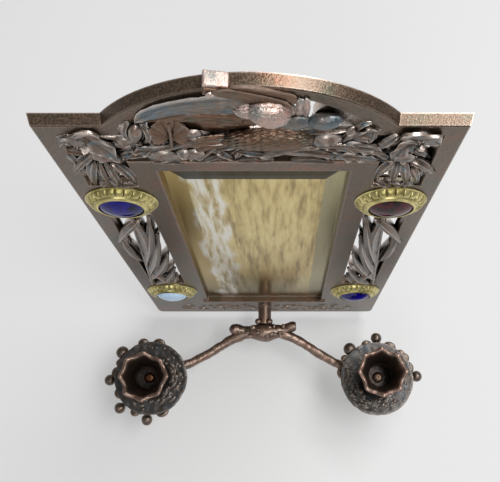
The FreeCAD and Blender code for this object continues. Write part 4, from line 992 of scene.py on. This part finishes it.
        # Shoulder, wing tip and ruff take the pale finish: painted highlight where they face the light
        shoulder = joined([
            self.egg((10, -21.5, 2.5), (11.5, 8.0, 8.5), 26, Skin.FLUTES),
            self.egg((0, -23.5, 2.0), (7.5, 4.4, 5.5), 12, Skin.FLUTES),
            self.slab((1.6, 7.0), (self.crown_top - 1.0, self.tip_top - 0.4)),
            ball(seen(-17.5, -36.5, 3.0), (2.2, 1.4, 2.4)),
            carved(self.ruff, 1.6),
        ])
        roughened(shoulder, 3.0, 0.3)
        settle(shoulder, "bird_shoulder_and_wing_tip", "frame", rubbed_and_highlight, ["bird"])


@dataclass
class Bezel:
    """Stamped ring with convex lobes round a jewel."""

    places: tuple[str, ...] = ("upper_left", "upper_right", "lower_left", "lower_right")
    lobes: int = 24
    groove: float = 0.7                  # depth between two lobes
    crown: float = 0.5                   # how far a lobe swells between its grooves
    band: tuple[float, float] = (18.4, 22.5)     # radii between which the lobes lie
    band_z: float = 1.5                  # and the height that they start from
    profile: Profile = (
        (23.75, 0.0), (23.75, 0.6), (23.3, 1.0), (22.7, 1.1), (22.3, 1.9), (21.6, 3.0), (20.6, 4.0),
        (19.5, 4.6), (18.6, 4.8), (18.2, 4.5), (17.9, 5.1), (17.4, 5.6), (16.9, 5.3), (16.5, 5.35),
        (15.6, 6.0), (14.8, 6.2), (14.8, 5.4), (15.4, 5.4), (15.4, -5.0), (16.0, -5.0), (16.0, 0.0))

    def build(self, material: Material) -> None:
        """The four rings."""
        for name in self.places:
            ring = lathe(self.profile, self.lobes * 12)
            p = places(ring)
            r = np.hypot(p[:, 0], p[:, 1])
            wave = np.abs(np.sin(np.arctan2(p[:, 1], p[:, 0]) * self.lobes / 2))
            on_band = (r > self.band[0]) & (r < self.band[1]) & (p[:, 2] > self.band_z)
            dip = self.groove * np.exp(-(wave / 0.2) ** 2) + self.crown * (1 - wave ** 0.8)
            p[:, 2] -= np.where(on_band, dip, 0)
            reshape(ring, p)
            low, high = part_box(f"{name}_bezel")
            middle = (Vector(low) + Vector(high)) / 2 / MM
            upright = Matrix.Rotation(math.radians(90), 4, "X")
            shift = Matrix.Translation((middle.x, FRONT_Y, middle.z)) @ upright
            settle(ring, f"{name}_bezel_ring", "frame", material, [f"{name}_bezel"], 40, shift)


@dataclass
class Branch:
    """Bark-textured branch: stem, knotty hub, two twig ends and the arms."""

    out: float = 26.5                    # hub's middle in front of the face
    bark_size: float = 6.0
    bark_depth: float = 0.7
    knots: int = 16
    # Hub and twig ends: x, y and z from the hub's middle, and radius
    hub: tuple[tuple[float, ...], ...] = (
        (-37.0, 1, 2, 1.0), (-34.5, 1, 2, 5.6), (-29, 1, 1, 6.2), (-22, 0, 0, 4.6), (-12, -1, 0, 7.0),
        (0, -2, 0, 10.4), (11, -1, 0, 7.6), (20, 1, 1, 5.0), (26, 3, 2, 5.6), (31, 4, 3, 5.6),
        (32.5, 4, 3, 4.2))
    # Arm: shares of the way outwards and forwards, radius, and sag
    bends: tuple[tuple[float, ...], ...] = (
        (0.0, 0.0, 6.0, 0.0), (0.16, 0.10, 5.4, 1.5), (0.30, 0.25, 4.6, 3.5), (0.45, 0.45, 4.8, 4.5),
        (0.60, 0.62, 4.3, 4.6), (0.72, 0.74, 5.0, 4.0), (0.84, 0.84, 4.5, 2.5), (1.0, 1.0, 5.6, 0.0))
    arm_start: float = 10.0              # from the centreline
    boss_drop: float = 18.0              # from the cup's seat down to the arm's end

    def arm(self, side: str) -> list[tuple[Vector, float]]:
        """Control places and radii of the left or right arm, from the hub to the cup's boss."""
        joint = JOINTS[f"{side}_holder_turn"]
        foot = Vector(joint["pos_m"]) / MM - Vector(joint["axis"]) * self.boss_drop
        start = Vector((math.copysign(self.arm_start, foot.x), FRONT_Y - self.out, STEM_Z))
        nodes = []
        for along, ahead, radius, sag in self.bends:
            x = start.x + (foot.x - start.x) * along
            y = start.y + (foot.y - start.y) * ahead
            z = start.z + (foot.z - start.z) * along - sag
            nodes.append((Vector((x, y, z)), radius))
        return nodes

    def build(self, material: Material) -> None:
        """The whole casting on its moving body."""
        middle = Vector((0, FRONT_Y - self.out, STEM_Z))
        hub = [(middle + Vector(place), radius) for *place, radius in self.hub]
        stem = [(Vector((0, FRONT_Y - out, STEM_Z)), radius)
                for out, radius in ((0.05, 7.0), (9, 6.6), (20, 7.0))]
        stud = [(Vector((0, y, STEM_Z)), 4.0) for y in (FRONT_Y - 0.5, -0.4)]
        wood = joined([cane(hub, 32, 12), cane(self.arm("left"), 20, 12), cane(self.arm("right"), 20, 12)])
        roughened(wood, self.bark_size, self.bark_depth)
        roughened(wood, self.bark_size / 3, self.bark_depth / 3, 5.0)
        draw = random.Random(5)
        knots = [ball(middle + Vector((draw.uniform(-20, 20), draw.uniform(-7, 5), 7.5)),
                      (draw.uniform(1.4, 3.0), draw.uniform(1.2, 2.4), draw.uniform(0.8, 1.6)), 12, 8)
                 for _ in range(self.knots)]
        buds = [ball(middle + Vector((x, 8.5, 6)), (3.6, 3.2, 3.2)) for x in (-6.5, 5.0)]
        piece = joined([wood, cane(stem, 32, 4), cane(stud, 24, 2)] + knots + buds)
        settle(piece, "branch_casting", "branch", material, ["arm_bracket"])


@dataclass
class CandleHolder:
    """Crown, drip pan and tulip cup on one arm, drawn about the cup's own axis."""

    side: str
    crown_shift: tuple[float, float]
    knobs: tuple[int, ...]               # ribs that reach past the pan
    leaf_tips: tuple[float, ...]         # degrees about the axis
    fruit_at: float                      # degrees about the axis where the fruit lies thickest
    reach: float = 38.6
    short_reach: float = 30.0
    knob_r: float = 5.5
    knob_drop: float = 9.0
    big_knob: int = 3                    # the rib with the largest ball
    tip_reach: float = 34.4              # middles of the leaf tips
    petal_foot: float = 20.0             # height where the petals begin to part
    petal_h: float = 22.0
    fruit_count: int = 70
    pan_profile: Profile = (
        (2.9, -7.8), (11.0, -7.8), (13.5, -6.9), (20.0, -4.8), (28.0, -5.4), (33.2, -3.8), (35.2, -3.1),
        (36.0, -2.1), (35.7, -1.4), (34.6, -1.2), (33.4, -1.2), (32.0, -1.4), (30.6, -1.5), (29.0, -1.5),
        (27.0, -1.4), (24.0, -1.3), (21.0, -1.7), (17.0, -3.4), (13.5, -5.2), (11.0, -6.0), (2.9, -6.0))
    cup_profile: Profile = (
        (2.6, -6.0), (10.5, -6.0), (10.9, -5.2), (10.2, -4.4), (9.0, -1.5), (9.6, 1.0), (12.0, 4.0),
        (13.3, 6.5), (13.4, 12.0), (13.2, 18.0), (13.4, 22.0), (14.4, 27.0), (16.2, 32.0), (18.6, 37.0),
        (21.2, 39.6), (22.6, 40.4), (23.0, 41.2), (22.4, 41.9), (21.2, 42.0), (19.8, 41.6), (18.6, 40.2),
        (16.8, 36.6), (14.6, 32.0), (12.8, 27.0), (11.6, 23.5), (11.0, 22.0), (11.0, 4.0), (2.6, 4.0))
    petals: int = 8

    def frame_matrix(self) -> Matrix:
        """Where the cup's own frame lies, in millimetres."""
        joint = JOINTS[f"{self.side}_holder_turn"]
        turn = Vector((0, 0, 1)).rotation_difference(Vector(joint["axis"])).to_matrix().to_4x4()
        return Matrix.Translation(Vector(joint["pos_m"]) / MM) @ turn

    def crown(self) -> Piece:
        """Ribs with knobs and the leaf tips between them."""
        dx, dy = self.crown_shift
        parts = [lathe([(2.9, -10.8), (14.0, -10.8), (14.0, -9.4), (13.0, -7.9), (2.9, -7.9)], 48)]
        for k in range(self.petals):
            a = 2 * math.pi / self.petals * k
            way = Vector((math.cos(a), math.sin(a), 0))
            reach = self.reach if k in self.knobs else self.short_reach
            knob = Vector((dx, dy, -self.knob_drop)) + way * reach
            low = Vector((dx, dy, -11.0)) + way * (reach * 0.72)
            parts.append(cane([(way * 10 + Vector((0, 0, -10.0)), 2.4), (low, 2.6), (knob, 2.6)], 12, 6))
            if k in self.knobs:
                radius = self.knob_r * (1.18 if k == self.big_knob else 1.0)
                parts.append(ball(knob, (radius, radius, radius * 0.95), 24, 16))
        for k, a in enumerate(self.leaf_tips):
            turn = Matrix.Rotation(math.radians(a), 4, "Z") @ Matrix.Rotation(math.radians(-10), 4, "Y")
            way = Vector((math.cos(math.radians(a)), math.sin(math.radians(a)), 0))
            place = way * (self.tip_reach + k % 2) + Vector((0, 0, -7.8))
            parts.append(ball(place, (5.6, 6.6 - k % 3 * 0.9, 1.9), 16, 10, turn))
        return joined(parts)

    def pan(self) -> Piece:
        """Dished pan with a rolled edge and fruit and blossoms cast round its ring."""
        dish = lathe(self.pan_profile, 144)
        roughened(dish, 5.0, 0.55)
        draw = random.Random(self.side)
        fruit = []
        for k in range(self.fruit_count):
            a = math.radians(draw.gauss(self.fruit_at, 48))
            r, size = draw.uniform(20.0, 31.5), draw.uniform(1.4, 3.2)
            turn = Matrix.Rotation(a + draw.uniform(-0.5, 0.5), 4, "Z")
            long = size * (1.8 if k % 3 == 0 else 1.0)
            place = Vector((math.cos(a) * r, math.sin(a) * r, -1.9))
            fruit.append(ball(place, (size, long, size * 0.55), 10, 6, turn))
        return joined([dish] + fruit)

    def cup(self) -> Piece:
        """Tulip with eight pointed petals that curl outwards."""
        piece = lathe(self.cup_profile, 160)
        p = places(piece)
        a = np.arctan2(p[:, 1], p[:, 0])
        t = np.clip((p[:, 2] - self.petal_foot) / self.petal_h, 0, 1)
        lobe = 0.6 * (1 - np.abs(np.sin(a * self.petals / 2))) + 0.2 * (1 + np.cos(a * self.petals))
        uneven = 0.02 * np.sin(3 * a + 1.0) + 0.015 * np.sin(5 * a)
        grow = 1 + t ** 1.5 * (0.10 * (lobe - 0.55) - 0.02 + uneven)
        p[:, 2] -= 2.2 * t ** 3 * (1 - lobe)
        p[:, :2] *= grow[:, None]
        reshape(piece, p)
        roughened(piece, 3.0, 0.22)
        return piece

    def build(self, branch: Material, pan: Material, cup: Material) -> None:
        """Crown on the branch, pan and cup on their own body."""
        shift = self.frame_matrix()
        crown = self.crown()
        roughened(crown, 4.0, 0.3)
        holder = f"{self.side}_holder"
        # The crown's finish, passed in as branch, is painted darker as shade under the pan
        for piece, name, body, slot, finish, node in (
                (crown, "crown_gallery", "branch", Slot.BRANCH, branch, "crown"),
                (self.pan(), "pan_dish", holder, Slot.PAN, pan, "drip_pan"),
                (self.cup(), "tulip_cup", holder, Slot.CUP, cup, "candle_cup")):
            settle(piece, f"{self.side}_{name}", body, finish, [f"{self.side}_{node}"], shift=shift)


@dataclass
class Studio:
    """Floor, light and camera."""

    floor_z: float = -228.0       # just under the cups
    floor_colour: str = "#dcdcdc"
    glow_share: float = 0.45      # share of the floor's tone that no shadow reaches
    room_grey: float = 0.26       # light from all round
    # Softboxes: name, place and size in metres, and power in watts
    lamps: tuple[tuple[str, Place, tuple[float, float], float], ...] = (
        ("overhead", (0.85, -0.2, 1.9), (1.1, 0.6), 30.0),
        ("back_right", (0.85, 0.9, 1.9), (1.2, 0.4), 26.0),
        ("front_fill", (-0.2, -1.5, 1.4), (0.8, 0.8), 7.0))

    def floor(self) -> None:
        """A plain pale floor under the sconce, whose tone shows to the eye and in the metal."""
        bpy.ops.mesh.primitive_plane_add(size=6.0, location=(0, 0, self.floor_z * MM))
        plane = bpy.context.object
        plane.name = "studio_floor"
        work = Recipe("matt_floor_paint")
        paint = work.add("BsdfPrincipled", {"Base Color": self.floor_colour, "Roughness": 0.9,
                                            "Specular IOR Level": 0.1})
        glow = work.add("Emission", {"Color": self.floor_colour, "Strength": 1.0})
        looked_at = work.add("LightPath", out="Is Camera Ray")
        for ray in ("Is Glossy Ray", "Is Transmission Ray"):
            looked_at = work.add("Math", {"operation": "MAXIMUM"},
                                 {0: looked_at, 1: work.add("LightPath", out=ray)})
        share = work.add("Math", {"operation": "MULTIPLY", 1: self.glow_share}, {0: looked_at})
        both = work.add("MixShader", None, {0: share, 1: paint, 2: glow})
        work.add("OutputMaterial", None, {"Surface": both})
        plane.data.materials.append(work.material)

    def lamp(self, name: str, place: Place, size: tuple[float, float], power: float) -> None:
        """A softbox aimed at the sconce, placed and sized in metres."""
        data = bpy.data.lights.new(name, "AREA")
        data.shape = "RECTANGLE"
        data.size, data.size_y = size
        data.energy = power
        lamp = bpy.data.objects.new(name, data)
        bpy.context.scene.collection.objects.link(lamp)
        lamp.location = place
        lamp.rotation_euler = (-Vector(place)).to_track_quat("-Z", "Y").to_euler()

    def build(self) -> None:
        """Everything that isn't the sconce."""
        self.floor()
        for lamp in self.lamps:
            self.lamp(*lamp)
        scene = bpy.context.scene
        world = bpy.data.worlds.new("studio")
        scene.world = world
        world.use_nodes = True
        world.node_tree.nodes["Background"].inputs["Color"].default_value = (*[self.room_grey] * 3, 1)
        world.node_tree.nodes["Background"].inputs["Strength"].default_value = 1.0
        data = bpy.data.cameras.new("camera")
        data.sensor_width = SENSOR
        data.lens = FOCAL_PIXELS / PICTURE_W * SENSOR
        data.shift_x = (PICTURE_W / 2 - AXIS_X) / PICTURE_W
        data.clip_start = 0.01
        camera = bpy.data.objects.new("camera", data)
        scene.collection.objects.link(camera)
        camera.location = EYE * MM
        camera.rotation_euler = (math.radians(90 - PITCH), 0, 0)
        scene.camera = camera
        scene.view_settings.view_transform = "Standard"


def main() -> None:
    """Builds, dresses and lights the sconce."""
    iron = CastBronze("bronzed_cast_iron", "#7a6655", "#8e664e", "#6c6856", edge_mm=1.3, ridge="#d0bcae",
                      grit_mm=1.1, grit_depth=0.14, speckle=0.7, roughness=0.34, wax=0.3,
                      wax_roughness=0.2).build()
    leafy = CastBronze("bronzed_cast_leaves", "#736358", "#88624c", "#647a84", patch_mm=7, ridge_wear_and_highlight=1.0,
                       ridge="#dccdc2", hollow_soot_and_shade_mm=8.0, roughness=0.30, wax=0.35, wax_roughness=0.2).build()
    brown = CastBronze("bronzed_cast_body", "#80634e", "#8b644b", "#746a59", patch_mm=12, ridge_wear_and_highlight=0.6,
                       ridge="#b8a294", hollow_soot_and_shade_mm=2.6, hollow_soot_and_shade_share=0.75, roughness=0.40, wax=0.25,
                       wax_roughness=0.3).build()
    slaty = CastBronze("bronzed_cast_wing", "#827f7b", "#927d6c", "#74838b", patch_mm=11, ridge_wear_and_highlight=1.0,
                       ridge="#ddd2ca", hollow_soot_and_shade_mm=5.0, roughness=0.40, wax=0.3, wax_roughness=0.3).build()
    # A pale copy of the bronze: painted highlight on the bird's shoulder and wing tip
    rubbed_and_highlight = CastBronze("highlight_painted_cast_shoulder", "#cbb9ae", "#d8bba9", "#a5a29c", patch_mm=9, ridge_wear_and_highlight=0.9,
                        grit_depth=0.3, ridge="#f0e8e2", hollow_soot_and_shade_mm=4.0, hollow_soot_and_shade_share=0.8, roughness=0.38,
                        wax=0.3).build()
    branch = CastBronze("bronzed_cast_branch", "#78655a", "#8c6856", "#6a6458", patch_mm=12, ridge_wear_and_highlight=0.8,
                        ridge="#c8aa9a", hollow_soot_and_shade_mm=3.0, roughness=0.38, wax=0.3).build()
    # A darker copy of the branch bronze for the crowns: painted shade under the pans
    shade_darkened_gallery = CastBronze("pan_shaded_cast_gallery", "#4e443b", "#6a5242", "#454640", patch_mm=9, ridge_wear_and_highlight=0.9,
                         ridge="#b8a08f", hollow_soot_and_shade_mm=7.0, roughness=0.36, wax=0.3).build()
    pan = CastBronze("gunmetal_cast_pan", "#4c4946", "#584b43", "#474d52", patch_mm=8, ridge_wear_and_highlight=0.4,
                     ridge="#a09086", hollow_soot_and_shade_mm=2.6, hollow_soot_and_shade_share=0.8, roughness=0.42, wax=0.15,
                     wax_roughness=0.3).build()
    # Deep ambient occlusion darkens the cup's inside: painted shade
    cup = CastBronze("copper_rimmed_cup", "#5c4c43", "#785647", "#4c4c46", patch_mm=10, ridge_wear_and_highlight=0.9,
                     ridge="#b8998a", hollow_soot_and_shade_mm=26.0, hollow_soot_and_shade_share=0.85, roughness=0.38, wax=0.2).build()
    brass = AgedBrass().build()
    cobalt = JewelGlass("cobalt_pressed_glass", "#180c9c", transmission=0.5, sheen=0.1).build()
    ruby = JewelGlass("ruby_pressed_glass", "#6a1024", transmission=0.5, deep="#16040a", sheen=0.15).build()
    opal = JewelGlass("opal_pressed_glass", "#d2eaff", 0.12, 0.0, deep="#b4d6fa").build()
    mirror = OldMirror().build()
    sheet = Plain("blackened_sheet_steel", "#3a3632", "#4a443c", 0.6, 0.5).build()
    board = Plain("pulp_board", "#8a7656", "#7a684c", 0.0, 0.9).build()
    tin = Plain("bright_tinned_foil", "#c8c8c4", "#b0b0aa", 1.0, 0.25).build()
    old_brass = Plain("dull_turned_brass", "#7d6a44", "#5e5034", 1.0, 0.4).build()
    wire = Plain("plain_steel_wire", "#6e6a66", "#5c5650", 1.0, 0.4).build()
    finishes = {Slot.FRAME: iron, Slot.LEAF: leafy, Slot.BIRD: brown, Slot.BRANCH: branch, Slot.PAN: pan,
                Slot.CUP: cup, Slot.BEZEL: brass, Slot.SCREW: old_brass, Slot.TIN: tin, Slot.WIRE: wire,
                Slot.SHEET: sheet, Slot.MIRROR: mirror, Slot.BOARD: board, Slot.COBALT: cobalt,
                Slot.RUBY: ruby, Slot.OPAL: opal}
    for part in frame["record"]["subparts"]:
        dress(part["node"], finishes[Slot(part["material_slot"])])
    Openwork().build(leafy, iron, brown)
    Bird().build(brown, slaty, rubbed_and_highlight)
    Bezel().build(brass)
    Branch().build(branch)
    left = CandleHolder("left", (-3.5, -1.8), (3, 4, 5, 6), (80, 106, 155, 172, 205, 245, 290), -25)
    left.build(shade_darkened_gallery, pan, cup)
    right = CandleHolder("right", (1.9, 2.9), (0, 2, 3), (19, 36, 45, 65, 104, 147, 169), -110)
    right.build(shade_darkened_gallery, pan, cup)
    dress("left_cup_screw", Plain("heat_browned_brass", "#6a4632", "#54382a", 1.0, 0.4).build())
    dress("right_cup_screw", Plain("wax_dulled_brass", "#6e5a4c", "#5a483c", 1.0, 0.45).build())
    Studio().build()


if __name__ == "__main__":
    logging.basicConfig(level=logging.INFO)
    main()
